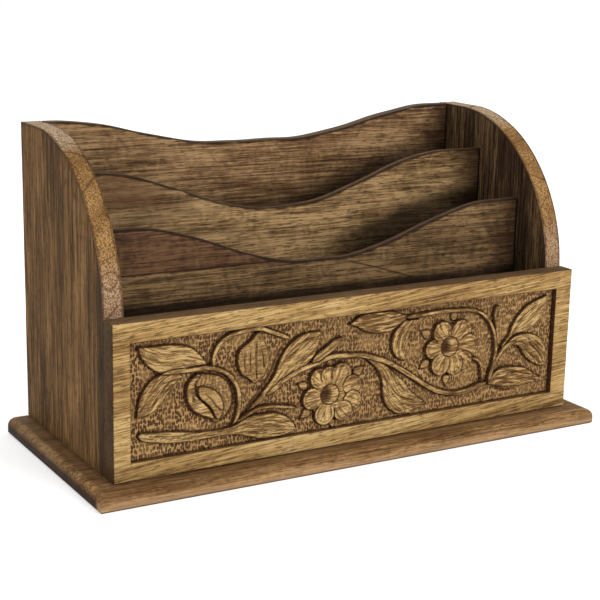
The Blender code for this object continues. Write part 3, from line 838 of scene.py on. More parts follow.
def smooth_heart(relief, boss, heart):
    """Runs the petals together round the boss, and cuts a few rays at its right."""
    chosen = relief.near(circle(*boss, heart))
    far, round_it = about(boss, relief.points[chosen])
    calm = np.clip((calm_edge - far) / calm_run, 0, 1)
    ray = np.clip(1 - np.abs((round_it / ray_spacing + 0.5) % 1 - 0.5) / ray_width, 0, 1)
    ray *= (relief.points[chosen, 0] > boss[0]) * np.clip((far - 4.8) / 1.5, 0, 1)
    relief.height[chosen] += calm * (calm_top - relief.height[chosen]) - ray_depth * ray * calm
    relief.stain[chosen] = relief.stain[chosen] * (1 - calm) + ray_stain * ray * calm
    relief.outline[chosen] += calm


def lay_boss(relief, boss, reach, tall):
    def hollowed(points, far):
        x, z = (points - boss).T
        off = ((x + 2.6) / reach) ** 2 + ((z + 0.2 * x) / tall) ** 2
        hollow = np.clip(1.6 - 1.6 * off, 0, 1)
        raised = boss_rise * (x > 0) * np.clip(far / 1.5, 0, 1)
        return hollow_depth * hollow - raised, hollow**0.7

    relief.lay(circle(*boss, boss_radius), boss_top, boss_rounding, hollowed)


print("the boss is hollowed by", hollow_depth, "mm")

# %% Flowers, buds and single cuts
def lay_flower(relief, boss, heart, petals, sepals, cut):
    boss = np.array(boss)
    for sepal in sepals:
        lay_sepal(relief, boss, *sepal)
    relief.lay(circle(*boss, heart), heart_top, heart_rounding)
    for petal in petals:
        lay_petal(relief, boss, *petal)
    smooth_heart(relief, boss, heart)
    lay_boss(relief, boss, *cut)


def lay_bud(relief, **forms):
    for top, punched, outline in forms.values():
        relief.lay(smooth_line(outline, closed=True), top, petal_rounding, punched=punched)


def cut_line(relief, width, depth, line):
    middle = smooth_line(line)
    chosen = relief.near(middle)
    far, along, _ = nearest_on(middle, relief.points[chosen])
    share = np.clip(1 - far / (width / 2), 0, 1) * np.clip(along / 1.5, 0.3, 1)
    before = relief.height[chosen]
    relief.height[chosen] = np.minimum(before, before * (1 - share) - depth * share)
    relief.stain[chosen] = np.maximum(relief.stain[chosen], share**0.6)


print("petals on each flower:", [len(flower["petals"]) for flower in FLOWERS.values()])

# %% [markdown]
# The order matters, because each form lies over the ones before it, as on the real panel.

# %% Carve the pattern
ORDER = (
    (lay_leaf, LEAVES, ("lower_left", "top_left", "long")),
    (lay_vine, VINES, ("low_left", "over_bud", "left")),
    (lay_bud, BUDS, ("low", "high")),
    (lay_leaf, LEAVES, ("big",)),
    (lay_flower, FLOWERS, ("low",)),
    (lay_leaf, LEAVES, ("under_vine", "comma")),
    (lay_vine, VINES, ("main", "shoot")),
    (lay_leaf, LEAVES, ("top_middle",)),
    (lay_vine, VINES, ("tendril",)),
    (lay_flower, FLOWERS, ("high",)),
    (lay_leaf, LEAVES, ("right_low",)),
    (lay_vine, VINES, ("top",)),
    (lay_leaf, LEAVES, ("spike", "right_middle", "right_top")),
    (lay_vine, VINES, ("right",)),
)


def carve(points):
    relief = Relief(points)
    for lay, drawings, names in ORDER:
        for name in names:
            lay(relief, **drawings[name])
    for cut in CUTS:
        cut_line(relief, *cut)
    relief.height = np.maximum(relief.height, deepest_level)
    return relief


print("leaves, vines, buds and flowers to lay:", sum(len(names) for _, _, names in ORDER))

# %% [markdown]
# ## The front panel
# The panel is one board, and its carving is cut into its face. So it is one grid too: fine
# over the sunk field, coarser on the plain frame round it, and with two lines close together
# where the field's wall drops. All distances here are in millimetres from the board's lower
# left corner, as in the drawing.

# %% Grid of the front panel
panel_low, panel_high = (np.array(corner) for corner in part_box("front_panel"))
panel_foot = 0.3
field_left, field_right, field_low, field_top = 8.5, 250.0, 9.0, 65.5
wall_run = 0.12
rim = 0.4
field_pitch = 0.43
frame_pitch = 1.7
ease_mm = ease / mm


def spaced(stops, pitches):
    """Lines from stop to stop, about a pitch apart."""
    runs = [
        np.linspace(start, end, max(1, round((end - start) / pitch)) + 1)[:-1]
        for start, end, pitch in zip(stops, stops[1:], pitches)
    ]
    return np.concatenate((*runs, stops[-1:]))


def panel_lines(start, low, high, end):
    field = (low - rim, low, low + wall_run, high - wall_run, high, high + rim)
    field_pitches = (rim, wall_run, field_pitch, wall_run, rim)
    fine = ease_mm / 3
    stops = (start, start + ease_mm, *field, end - ease_mm, end)
    return spaced(stops, (fine, frame_pitch, *field_pitches, frame_pitch, fine))


panel_width, _, panel_height = (panel_high - panel_low) / mm
panel_columns = panel_lines(0, field_left, field_right, panel_width)
panel_rows = panel_lines(panel_foot, field_low, field_top, panel_foot + panel_height)
print("the panel's grid:", len(panel_columns), "by", len(panel_rows), "lines")

# %% [markdown]
# The face's height is zero on the frame, falls off round its eased edges, and is the carved
# relief inside the field. What the carver knows about each point goes along as attributes of
# the mesh, so that the finish can put stain in the hollows and strokes along the leaves.

# %% Carve the front panel
front_panel = grid_sheet("front_panel_board", len(panel_columns) - 1, len(panel_rows) - 1)
flat = corners(front_panel)
column = np.rint((flat[:, 0] + 0.5) * (len(panel_columns) - 1)).astype(int)
row = np.rint((flat[:, 1] + 0.5) * (len(panel_rows) - 1)).astype(int)
face = np.column_stack((panel_columns[column], panel_rows[row]))

across, upward = face.T.copy()
to_walls = (across - field_left, field_right - across, upward - field_low, field_top - upward)
from_wall = np.minimum.reduce(to_walls)
in_field = from_wall > wall_run / 2
relief = carve(face[in_field])
print("carved", relief.forms, "forms in", in_field.sum(), "points")

# %% Heights of the face
face_sink, face_waver, face_waver_length = 0.12, 0.1, 41
ground_waver, ground_waver_length = 0.18, 7
wall_ditch_width, wall_ditch_depth = 0.5, 0.4

to_edges = (across, panel_columns[-1] - across, upward - panel_foot, panel_rows[-1] - upward)
to_edge = np.minimum.reduce(to_edges)
rounded = ease_mm - np.sqrt(np.maximum(ease_mm**2 - np.clip(ease_mm - to_edge, 0, ease_mm) ** 2, 0))
flat_face = np.column_stack((face, np.zeros(len(face))))
height = -rounded - face_sink + face_waver * waver(flat_face, face_waver_length, 3)
wall_ditch = np.exp(-((from_wall[in_field] / wall_ditch_width) ** 2))
uneven = ground_waver * waver(flat_face, ground_waver_length, 1)[in_field] * relief.punched
sunk = relief.height + uneven - wall_ditch_depth * wall_ditch * relief.punched
height[in_field] = np.maximum(sunk, deepest_level)
print("the face goes down to", round(height.min(), 2), "mm")

# %% [markdown]
# Stain stays along the field's walls, and painted shade is added to it: most at the foot of the
# right wall, which lies in its own shade, and least along the low wall, which catches the light.

# %% What the finish reads
wall_stain_width = 0.2
right_strip, low_strip = 3, 2
low_wall = upward < field_low + 2 * wall_run
# Painted shade: the stain on the frame beside the walls is weaker at the low wall, which catches
# the light.
stain = np.where(low_wall, 0.4, 0.9) * np.exp(-((from_wall / wall_stain_width) ** 2)) * ~in_field
near_right = across[in_field] > field_right - right_strip
near_low = upward[in_field] < field_low + low_strip
# Painted shade: full at the right wall, in its own shade, and weak at the lit low wall.
wall_stain_and_painted_shade = np.where(near_right, 1, np.where(near_low, 0.25, 0.5))
stain[in_field] = np.maximum(relief.stain, wall_stain_and_painted_shade * wall_ditch)
outline = np.abs(from_wall)
outline[in_field] = np.minimum(relief.outline, outline[in_field])
punched = np.zeros(len(face))
punched[in_field] = relief.punched
strokes = flat_face
strokes[in_field] = relief.strokes
face[in_field] = relief.places
print("points with stain:", (stain > 0.5).sum())

# %% [markdown]
# With the face shaped, the grid's open edge is pulled back to the rear of the board, drawn in
# a little for the eased rear edge, and closed.

# %% Close the front panel
move_corners(front_panel, np.column_stack((
    panel_low[0] + face[:, 0] * mm,
    panel_low[1] - np.minimum(height, 0) * mm,
    panel_low[2] + (face[:, 1] - panel_foot) * mm,
)))
keep_attribute(front_panel, "stain", stain)
keep_attribute(front_panel, "punched", punched)
keep_attribute(front_panel, "carved", in_field)
keep_attribute(front_panel, "outline", np.clip(outline, 0, no_line))
keep_attribute(front_panel, "strokes", strokes, "FLOAT_VECTOR")

bpy.ops.object.mode_set(mode="EDIT")
bpy.ops.mesh.select_mode(type="EDGE")
bpy.ops.mesh.select_all(action="DESELECT")
bpy.ops.mesh.select_non_manifold()
panel_middle = (panel_low + panel_high) / 2
panel_size = panel_high - panel_low
rear_steps = [(ease * (1 - cos(turn)), ease * sin(turn)) for turn in (0, pi / 6, pi / 3, pi / 2)]
rim_y = panel_low[1] + ease
inset = 0
for drawn_in, nearer in rear_steps:
    goal_y = panel_high[1] - ease + nearer
    bpy.ops.mesh.extrude_region_move(TRANSFORM_OT_translate={"value": (0, goal_y - rim_y, 0)})
    shrink = [(side / 2 - drawn_in) / (side / 2 - inset) for side in panel_size]
    bpy.ops.transform.resize(value=(shrink[0], 1, shrink[2]), center_override=tuple(panel_middle))
    rim_y, inset = goal_y, drawn_in
bpy.ops.mesh.edge_face_add()
bpy.ops.mesh.select_all(action="SELECT")
bpy.ops.mesh.normals_make_consistent(inside=False)
bpy.ops.object.mode_set(mode="OBJECT")
shade_softly(front_panel, 60)
front_panel.data.calc_loop_triangles()
print("the front panel has", len(front_panel.data.loop_triangles), "triangles")

# %% [markdown]
# ## The base board
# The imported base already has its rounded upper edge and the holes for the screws. Its mesh is
# loose triangles, so a copy is merged into one skin, and then its round edge can be shaded
# smoothly.

# %% Base board
base_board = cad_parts["base_board"].copy()
base_board.data = base_board.data.copy()
base_board.name = "base_board_dressed"
base_board.parent = None
for key in [key for key in base_board.keys() if key.startswith("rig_")]:
    del base_board[key]
bpy.context.scene.collection.objects.link(base_board)
select_only(base_board)
bpy.ops.object.mode_set(mode="EDIT")
bpy.ops.mesh.select_all(action="SELECT")
bpy.ops.mesh.remove_doubles(threshold=0.01 * mm)
bpy.ops.object.mode_set(mode="OBJECT")
shade_softly(base_board, 35)
print("the base board has", len(base_board.data.polygons), "faces")

# %% [markdown]
# ## Helpers for finishes
# A finish is a net of nodes. To keep it readable, what a node gives is held as a term, and a
# sum of terms adds the Math nodes for it: x * 2 + 1 makes two. A socket takes either a term or
# a plain value. Everything is placed by Object coordinates, in metres, so the grain runs
# through a board as it does in real wood. A finish starts as wood, and then one stain after
# another goes on, each with a mask, the share it covers at most, and its tone.

# %% Terms
def tint(tone):
    """A colour as screens name it, from 0 to 255, turned into the linear light that shaders use."""
    shares = [part / 255 for part in tone]
    linear = [s / 12.92 if s <= 0.04045 else ((s + 0.055) / 1.055) ** 2.4 for s in shares]
    return (*linear, 1)


class Term:
    """What one node of a finish gives to others."""

    def __init__(self, finish, socket):
        self.finish = finish
        self.socket = socket

    def __add__(self, other):
        return self.finish.math("ADD", self, other)

    def __sub__(self, other):
        return self.finish.math("SUBTRACT", self, other)

    def __rsub__(self, other):
        return self.finish.math("SUBTRACT", other, self)

    def __mul__(self, other):
        return self.finish.math("MULTIPLY", self, other)

    def __abs__(self):
        return self.finish.math("ABSOLUTE", self)

    def held(self):
        """The same sum, held between 0 and 1."""
        self.socket.node.use_clamp = True
        return self

    def rise(self, low, high, bottom=0.0, top=1.0):
        """Goes softly from bottom to top while the term goes from low to high, and stays there."""
        inputs = dict(enumerate((self, low, high, bottom, top)))
        return self.finish.add("MapRange", 0, inputs, interpolation_type="SMOOTHSTEP", clamp=True)


print("half grey on a screen is", round(tint((128, 128, 128))[0], 3), "in a shader")

# %% Finishes
dull_shine = 0.03


class Finish:
    """A material while it is made, with its colour and its height in millimetres so far."""

    def __init__(self, name):
        self.material = bpy.data.materials.new(name)
        self.material.use_nodes = True
        self.place = self.add("TexCoord", "Object")
        self.at = self.split(self.place)

    def add(self, kind, output=0, inputs=None, **settings):
        """Adds a node, sets it up, and gives the output that is asked for."""
        made = self.material.node_tree.nodes.new(f"ShaderNode{kind}")
        for name, value in settings.items():
            setattr(made, name, value)
        for key, value in (inputs or {}).items():
            self.wire(value, made.inputs[key])
        return Term(self, made.outputs[output])

    def wire(self, value, socket):
        if isinstance(value, Term):
            self.material.node_tree.links.new(value.socket, socket)
        else:
            socket.default_value = value

    def split(self, vector):
        """The three parts of a place or a direction."""
        node = self.add("SeparateXYZ", inputs={0: vector}).socket.node
        return [Term(self, part) for part in node.outputs]

    def facing(self):
        return self.split(self.add("NewGeometry", "True Normal"))

    def attribute(self, name, output="Fac"):
        return self.add("Attribute", output, attribute_name=name)

    def math(self, way, one, two=0.0):
        return self.add("Math", 0, {0: one, 1: two}, operation=way)

    def noise(self, scales, detail=3, twist=0, rough=0.5, shift=(0, 0, 0), place=None):
        """A scale is how often the noise repeats in one unit along an axis."""
        inputs = {"Vector": place or self.place, "Scale": scales, "Location": shift}
        inputs = {"Vector": self.add("Mapping", 0, inputs), "Scale": 1}
        inputs |= {"Detail": detail, "Distortion": twist, "Roughness": rough}
        return self.add("TexNoise", "Fac", inputs)

    def blend(self, share, one, two, way="MIX"):
        inputs = {0: share, 6: one, 7: two}
        return self.add("Mix", 2, inputs, data_type="RGBA", blend_type=way, clamp_factor=True)

    def ramp(self, value, *stops):
        """A run of colours: each stop is a place from 0 to 1 and its tone."""
        colour = self.add("ValToRGB", 0, {0: value})
        elements = colour.socket.node.color_ramp.elements
        while len(elements) < len(stops):
            elements.new(0.5)
        for element, (position, tone) in zip(elements, stops):
            element.position = position
            element.color = tint(tone)
        return colour

    def stained(self, colour, *stains):
        for mask, share, tone in stains:
            colour = self.blend(mask * share, colour, tint(tone))
        return colour

    def stain(self, *stains):
        self.colour = self.stained(self.colour, *stains)

    def close(self, roughness, metallic=0):
        """Wires the colour, the height and a roughness to the shader."""
        bump = self.add("Bump", 0, {"Height": self.height, "Distance": mm})
        sockets = self.material.node_tree.nodes["Principled BSDF"].inputs
        self.wire(self.colour, sockets["Base Color"])
        self.wire(bump, sockets["Normal"])
        self.wire(roughness, sockets["Roughness"])
        self.wire(metallic, sockets["Metallic"])
        self.wire(dull_shine, sockets["Specular IOR Level"])
        print("finish", self.material.name, "has", len(self.material.node_tree.nodes), "nodes")
        return self.material


# %% [markdown]
# ## The wood
# Mango and its like have soft bands of yellow, tan and brown, fine dark threads, and open pores
# that hold stain. So the wood is made of noises that are all drawn out along the grain, from
# the broad bands down to the fibres. The lines of the growth rings come from a smooth noise as
# contour lines come from a map, and a faint figure runs across the grain. The grain can be
# turned a little about the board's thickness, so that it runs at a slant.

# %% Wood
band_weight, streak_weight, thread_weight, fibre_weight = 0.34, 0.26, 0.36, 0.3
ring_weight = 0.2
tone_stops = (0.24, 0.5, 0.74, 0.98)
pore_shade = 0.45
grain_depth = 0.08


def wood(finish, along, tones, seed, rings=0.35, pores=0.6, lines=5.5, slant=0, figure=0.1):
    """Wood with its grain along one axis. Gives its colour and its height in millimetres."""
    turn = {"Vector": finish.place, "Angle": radians(slant)}
    place = finish.add("VectorRotate", 0, turn, rotation_type="Y_AXIS")
    shift = (1.7 * seed, 2.9 * seed, 0.8 * seed)

    def grain(lengthwise, crosswise, *settings):
        scales = [crosswise] * 3
        scales["xyz".index(along)] = lengthwise
        return finish.noise(scales, *settings, shift=shift, place=place)

    fibre = grain(90, 2400, 2, 0, 0.6)
    pore = grain(170, 1400, 2).rise(0.57, 0.64)
    contour = finish.math("SINE", grain(7, 34, 1.5, 0.3) * (lines * 2 * pi))
    value = grain(9, 63, 3, 0.4).rise(0.28, 0.72) * band_weight
    value += grain(15, 600, 3, 0.3, 0.6).rise(0.34, 0.66) * streak_weight
    value += grain(42, 1500, 2, 0.1, 0.6).rise(0.36, 0.64) * thread_weight
    value += grain(110, 85, 4, 2).rise(0.3, 0.7) * figure
    value += fibre.rise(0, 1) * fibre_weight
    value += contour * (rings * ring_weight)
    colour = finish.ramp(value, *zip(tone_stops, tones))
    in_pore = (*(pore_shade * part for part in tint(tones[0])[:3]), 1)
    colour = finish.blend(pore * pores, colour, in_pore)
    return colour, (fibre - pore) * grain_depth


def wooden(name, along, tones, seed, **settings):
    """A finish that starts as wood."""
    finish = Finish(name)
    finish.colour, finish.height = wood(finish, along, tones, seed, **settings)
    return finish


print("the grain is", grain_depth, "mm deep")

# %% [markdown]
# ### Rims and arrises
# Along each arris a dark line stayed, where the stain was not rubbed off. On a board's face its
# distance from the rim comes with the mesh, and on the rim itself it follows from the place.

# %% Rims and arrises
def board_rim(finish, axis, node):
    """How far a face belongs to the rim, and how dark the arris is there, both from 0 to 1."""
    rim = abs(finish.facing()[axis]).rise(0.85, 0.6)
    low, high = (corner[axis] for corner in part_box(node))
    inward = (high - low) / 2 - abs(finish.at[axis] - (low + high) / 2)
    from_arris = finish.blend(rim, finish.attribute("to_rim"), inward * (1 / mm))
    reach = finish.noise((160, 160, 160)) * 2.4
    return rim, (from_arris - reach).rise(0.25, -0.5)


divider_low, divider_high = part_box("rear_divider")
print("a divider's rim is", round((divider_high - divider_low).y / mm, 1), "mm wide")

# %% [markdown]
# ### The curved sides
# A side's grain stands upright, so its curved rim shows end grain: golden with many dark
# specks, and paler and pinker low down, where hands wore it. The straight edge at the back is
# long grain, like the faces. Thin cracks run up the boards, and a dark strip stayed beside the
# front panel.

# %% Side finish
RIM_TONES = {
    "dark": (70, 46, 24), "middle": (124, 91, 52), "pale": (153, 118, 73),
    "worn": (158, 129, 104), "top": (198, 176, 148),
}
strip_edge, strip_full = -0.0315, -0.036


def side_finish(node, tones, seed):
    finish = wooden(f"{node}_wood", "z", tones, seed, rings=0.3, lines=7, figure=0.04)
    rim, arris = board_rim(finish, 0, node)
    _, y, z = finish.at
    crack = finish.noise((420, 420, 5), 1, 0.2, shift=(4, 2, 1)).rise(0.64, 0.7)
    finish.stain((crack, 0.55, tones[0]), (y.rise(strip_edge, strip_full), 0.65, (40, 31, 23)))
    cloud = finish.noise((70, 70, 70), 3, 0.3)
    speck = finish.noise((1500, 1300, 1300), 2, 0.1, 0.6).rise(0.46, 0.58)
    ring = finish.math("SINE", finish.noise((18, 26, 26), 1, shift=(3, 1, 2)) * 75)
    end_grain = finish.ramp(cloud, (0.35, RIM_TONES["middle"]), (0.65, RIM_TONES["pale"]))
    end_grain = finish.stained(
        end_grain,
        (z.rise(0.112, 0.096), 0.75, RIM_TONES["worn"]),
        (z.rise(0.149, 0.157), 0.6, RIM_TONES["top"]),
        (ring.rise(0.9, 1), 0.6, RIM_TONES["dark"]),
        (speck, 0.75, RIM_TONES["dark"]),
    )
    curved = rim * finish.facing()[1].rise(0.7, 0.3)
    finish.colour = finish.blend(curved, finish.colour, end_grain)
    finish.stain((arris, 0.6, (56, 38, 25)))
    finish.height += speck * curved * -0.1
    return finish.close(0.65)


left_tones = ((40, 27, 15), (70, 50, 28), (95, 69, 41), (124, 93, 57))
# Painted shade: the right side is the same wood in darker tones, because the inner face that is
# seen faces away from the lamp.
right_shaded_tones = ((28, 19, 13), (48, 35, 24), (67, 50, 34), (108, 84, 55))
left_side_finish = side_finish("left_side", left_tones, 2.3)
right_side_finish = side_finish("right_side", right_shaded_tones, 5.1)

# %% [markdown]
# ### The back and the dividers
# Their grain lies level. They are darker towards the right end, partly stain in the corner and
# partly painted shade, and painted shade darkens them down in the slots: each board knows how far a
# point rises above the board in front of it.
# At the left some streaks are bleached. At the sides a painted black shadow shows the gap where
# the board goes into its groove, and the wavy tops are a smooth dark brown between darker arrises.

# %% Divider finishes
# With this fade the painted slot shade is full all along the board.
whole_board = (-0.3, -0.2)


def divider_finish(node, tones, seed, corner, slot, fade=whole_board, rings=0.4, bleach=0.1):
    """Corner is how dark the right end is, in stain and painted shade. Slot gives the heights, in
    millimetres, at which the painted shade in the slot starts and is full, and fade from which x to
    which x it sets in."""
    finish = wooden(f"{node}_wood", "x", tones, seed, rings=rings, lines=6, figure=0.2)
    x = finish.at[0]
    ragged = (finish.noise((90, 90, 140), 3, 0.5) - 0.5) * 0.03
    in_front = finish.facing()[1].rise(-0.3, -0.7)
    painted_slot_shade = finish.attribute("out_of_slot").rise(*slot) * x.rise(*fade) * in_front
    streak = finish.noise((20, 20, 420), 3, 0.3).rise(0.4, 0.62)
    # Painted shade: the dark right end (partly stain in the corner), the near-black slots, and the
    # black shadow in the gap at each groove. The bleached streaks are the wood's own.
    finish.stain(
        ((x + ragged).rise(0.092, 0.117), corner, (40, 22, 14)),
        (painted_slot_shade, 0.85, (20, 13, 9)),
        (streak * x.rise(0, -0.07), bleach, (172, 142, 104)),
        (abs(x).rise(0.1184, 0.1192), 0.9, (12, 8, 6)),
    )
    return finish


def close_wavy(finish, node, top_tone):
    """Adds the wavy top and its arrises, and closes the finish."""
    rim, arris = board_rim(finish, 1, node)
    finish.stain((rim, 0.85, top_tone), (arris, 0.85, (32, 21, 14)))
    return finish.close(0.62)


back_tones = ((54, 38, 24), (86, 63, 41), (113, 86, 58), (146, 117, 83))
finish = divider_finish("back_panel", back_tones, 1.4, 0.8, (4, -10))
back_finish = close_wavy(finish, "back_panel", (84, 70, 54))

# %% [markdown]
# The rear divider's painted slot shade sets in only right of its middle, and its upper left
# corner is a darker, redder brown.

# %% Rear divider finish
rear_tones = ((54, 39, 23), (93, 71, 45), (123, 97, 65), (156, 127, 88))
finish = divider_finish("rear_divider", rear_tones, 3.2, 0.8, (6, -5), (-0.005, 0.05), bleach=0.3)
x, _, z = finish.at
high_up = z + (finish.noise((30, 30, 160), 3, 0.5) - 0.5) * 0.012
finish.stain((high_up.rise(0.116, 0.125) * x.rise(-0.055, -0.09), 0.65, (82, 55, 38)))
rear_finish = close_wavy(finish, "rear_divider", (78, 62, 48))

# %% [markdown]
# The front divider is glued up from two boards. On the left the upper one is darker and redder,
# and the joint shows as a dark line, straight across. On the right the two match, and a line of
# the grain runs down across the board.

# %% Front divider finish
front_tones = ((42, 29, 18), (68, 51, 33), (89, 68, 45), (120, 95, 64))
upper_tones = ((40, 24, 17), (58, 38, 27), (74, 52, 36), (96, 70, 48))
joint_height = 0.095
line_start, line_height = 0.0124, 0.0915

finish = divider_finish("front_divider", front_tones, 7.7, 0.6, (0, -6), rings=0.2, bleach=0)
upper, _ = wood(finish, "x", upper_tones, 9.2, rings=0.1, pores=0.4, figure=0.3)
x, _, z = finish.at
on_left = x.rise(-0.02, -0.03)
above = z.rise(joint_height, joint_height + 0.2 * mm)
finish.colour = finish.blend(above * on_left, finish.colour, upper)
joint_line = abs(z - joint_height).rise(0.6 * mm, 0.25 * mm)
run = x - line_start
off_line = abs(z + (run * 0.27 + run * run * 0.9) - line_height)
finish.stain(
    (joint_line * on_left, 0.8, (32, 20, 14)),
    (off_line.rise(0.7 * mm, 0.2 * mm) * x.rise(0, 0.02), 0.7, (36, 24, 16)),
)
front_divider_finish = close_wavy(finish, "front_divider", (74, 58, 46))

# %% [markdown]
# ### The carved panel
# The frame round the field is the palest wood of the rack. Its ends are painted darker, partly as
# end grain and partly as painted shade, and its top is painted darker as shade. In the field, dark
# stain stays in the ditches, the punch marks and the gouge strokes, and was rubbed off the high
# spots. The punch marks are small and many, so they are a bump from a cell pattern. The fine
# strokes of the gouge follow each form, by the attribute that the carver left, and a thin dark line
# runs along every outline.

# %% Punch marks and gouge strokes
# How many marks there are in a metre.
marks_across, marks_up = 900, 440


def punch_marks(finish, punched):
    """Small dark dents, a little taller than wide, packed over the ground."""
    x, _, z = finish.at
    flat_place = finish.add("CombineXYZ", 0, {0: x * marks_across, 1: z * marks_up})
    inputs = {"Vector": flat_place, "Scale": 1, "Randomness": 0.75}
    cells = finish.add("TexVoronoi", "Distance", inputs, feature="F1", voronoi_dimensions="2D")
    deep = finish.noise((130, 130, 130), 2).rise(0.3, 0.6, 0.55)
    at_right = x.rise(-0.06, 0.08, 1, 0.9)
    return cells.rise(0.5, 0.34) * deep * (punched * at_right)


def gouge_strokes(finish, smooth):
    """Dark cuts and pale ridges along each form, broken into lengths of some millimetres."""
    strokes = finish.attribute("strokes", "Vector")
    cuts = finish.noise((0.14, 1.35, 3.7), 2, 0.1, 0.6, place=strokes)
    return cuts.rise(0.51, 0.6) * smooth, cuts.rise(0.47, 0.38) * smooth


print("a mark is about", round(1 / marks_across / mm, 1), "by", round(1 / marks_up / mm, 1), "mm")

# %% Panel finish
def panel_finish():
    tones = ((84, 60, 34), (126, 97, 58), (152, 122, 76), (174, 146, 98))
    finish = wooden("panel_wood", "x", tones, 4.6, rings=0.45, lines=5, slant=5)
    stain, punched, carved = map(finish.attribute, ("stain", "punched", "carved"))
    pit = punch_marks(finish, punched)
    dark, pale = gouge_strokes(finish, (carved - punched).held())
    from_line = finish.attribute("outline") + finish.noise((500, 500, 500), 2) * 0.3
    across, _, upward = finish.facing()
    plain = 1 - carved
    # Painted shade: the frame's ends, which are partly end grain too, and its top are made darker.
    finish.stain(
        (abs(across).rise(0.4, 0.7) * plain, 0.9, (44, 29, 19)),
        (upward.rise(0.4, 0.7) * plain, 0.85, (64, 46, 33)),
    )
    finish.colour = finish.blend(punched, finish.colour, tint((226, 214, 200)), "MULTIPLY")
    finish.stain(
        (punched, 0.45, (164, 131, 88)),
        (pale, 0.6, (190, 158, 108)),
        (dark, 0.7, (84, 55, 31)),
        (pit, 0.95, (64, 40, 27)),
        # The stain attribute also holds painted shade, at the foot of the field's right wall.
        (stain, 0.88, (58, 32, 21)),
        (from_line.rise(0.56, 0.28) * carved, 0.85, (58, 34, 20)),
    )
    finish.height += pit * -0.35 + dark * -0.15
    return finish.close(stain.rise(0, 1, 0.6, 0.75))


carved_finish = panel_finish()

# %% [markdown]
# ### The base board
# Painted shade darkens the base close to the boards that stand on it and along the top of its
# front edge, more on the left. Lower down, its front edge is worn pale, with dark flecks, and its
# ends and the line it stands on are darkest, as painted shade, the ends also as end grain.

# %% Base finish
def base_board_finish():
    tones = ((56, 36, 20), (100, 72, 43), (130, 98, 61), (158, 125, 84))
    finish = wooden("base_wood", "x", tones, 6.4, rings=0.4)
    x, y, z = finish.at
    body_low, body_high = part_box("front_panel")
    past_front, past_side = body_low.y - y, abs(x) - body_high.x
    past_body = finish.math("MAXIMUM", past_front, past_side)
    front = past_front.rise(4.5 * mm, 8.5 * mm)
    end = (past_side.rise(5 * mm, 8 * mm) - front).held()
    high_up = z.rise(3 * mm, 6.5 * mm) * x.rise(0.05, -0.1, 0.2)
    fleck = finish.noise((260, 700, 900), 3, 0.6).rise(0.54, 0.64)
    worn = (z + finish.noise((45, 60, 260), 3, 0.4) * (6 * mm)).rise(9 * mm, 4 * mm)
    # Painted shade: near the boards on the base, along the top of its front edge, at its ends
    # (partly end grain) and along the line it stands on. The flecks and the pale wear are the
    # wood's own.
    finish.stain(
        (past_body.rise(8 * mm, 6 * mm), 0.5, (78, 52, 34)),
        (past_body.rise(3 * mm, 0.5 * mm), 0.35, (54, 34, 22)),
        (high_up * front, 0.55, (82, 54, 32)),
        (fleck * front, 0.45, (76, 48, 28)),
        (worn * front, 0.5, (168, 136, 102)),
        (z.rise(8 * mm, 3.5 * mm) * end, 0.92, (34, 23, 17)),
        (z.rise(1.3 * mm, 0.5 * mm), 0.8, (64, 46, 34)),
    )
    return finish.close(0.58)


base_finish = base_board_finish()

# %% [markdown]
# ### Fasteners
# The screws are zinc plated steel, seen only from below, and the beech dowels are hidden in
# the joints. Both still get a finish of their own.

# %% Screw and dowel finishes
finish = Finish("screw_steel")
scratch = finish.noise((900, 900, 4000))
finish.colour = finish.ramp(scratch, (0.3, (168, 166, 160)), (0.7, (208, 206, 200)))
finish.height = scratch * 0.01
steel_finish = finish.close(scratch.rise(0.3, 0.7, 0.28, 0.42), metallic=1)

beech_tones = ((150, 112, 74), (188, 150, 108), (206, 172, 130), (222, 192, 154))
dowel_finish = wooden("dowel_beech", "y", beech_tones, 8.1, pores=0.3).close(0.6)

# %% [markdown]
# ## Stage and light
# The rack was photographed on white, in soft light from the front right and above. A large
# pale floor and a bright world give the white. One large lamp gives the soft shadows in the
# slots and the carving, and a weak one keeps the left side from going black.

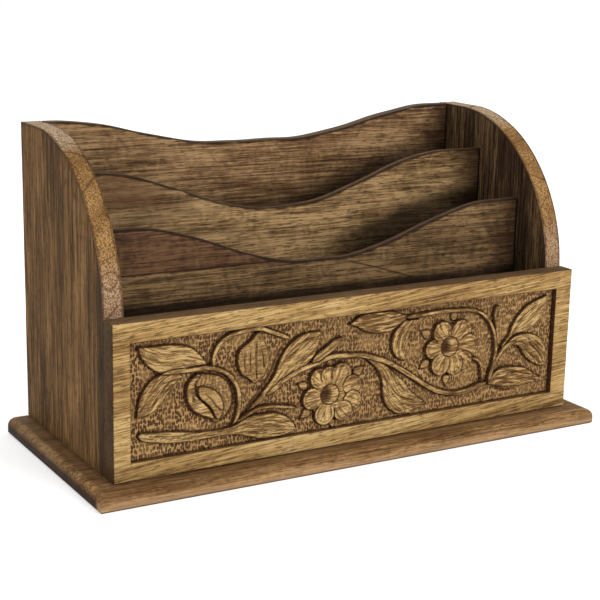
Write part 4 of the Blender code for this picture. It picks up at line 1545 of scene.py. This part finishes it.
# %% Stage and light
def area_light(name, place, aim, size, power):
    data = bpy.data.lights.new(name, "AREA")
    data.size = size
    data.energy = power
    lamp = bpy.data.objects.new(name, data)
    lamp.location = place
    lamp.rotation_euler = (Vector(aim) - Vector(place)).to_track_quat("-Z", "Y").to_euler()
    bpy.context.scene.collection.objects.link(lamp)


area_light("key_light", (0.66, -1.3, 0.85), (0, 0, 0.08), 0.9, 15.5)
area_light("fill_light", (-1.6, -0.8, 0.9), (0, 0, 0.08), 1.4, 7)

world = bpy.data.worlds.new("studio")
world.use_nodes = True
world.node_tree.nodes["Background"].inputs["Color"].default_value = (1, 1, 1, 1)
bpy.context.scene.world = world
bpy.context.scene.view_settings.view_transform = "Standard"

deselect_all()
bpy.ops.mesh.primitive_plane_add(size=8)
floor = bpy.context.object
floor.name = "floor"
floor_paint = bpy.data.materials.new("floor_paint")
floor_paint.use_nodes = True
for name, value in (
    ("Base Color", (0.9, 0.9, 0.9, 1)),
    ("Roughness", 0.9),
    ("Emission Color", (1, 1, 1, 1)),
    ("Emission Strength", 0.25),
):
    floor_paint.node_tree.nodes["Principled BSDF"].inputs[name].default_value = value
floor.data.materials.append(floor_paint)
print("lamps:", ", ".join(light.name for light in bpy.data.lights))

# %% [markdown]
# ## Put the pieces on the frame
# Each new piece rides on the rack's one body and stands for its packed board.
# The screws and dowels stay as packed and only get their finish.

# %% Put the pieces on the frame
PIECES = {
    "base_board": (base_board, base_finish, "base_wood"),
    "left_side": (side_boards["left_side"], left_side_finish, "side_wood"),
    "right_side": (side_boards["right_side"], right_side_finish, "side_wood"),
    "back_panel": (wavy_boards["back_panel"], back_finish, "divider_wood"),
    "rear_divider": (wavy_boards["rear_divider"], rear_finish, "divider_wood"),
    "front_divider": (wavy_boards["front_divider"], front_divider_finish, "divider_wood"),
    "front_panel": (front_panel, carved_finish, "panel_wood"),
}
for node, (piece, finish, slot) in PIECES.items():
    piece.data.materials.clear()
    piece.data.materials.append(finish)
    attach(piece, "root")
    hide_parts(node)

for name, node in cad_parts.items():
    if "screw" in name or "dowel" in name:
        node.material_slots[0].material = steel_finish if "screw" in name else dowel_finish
print("pieces on the frame:", len(PIECES))
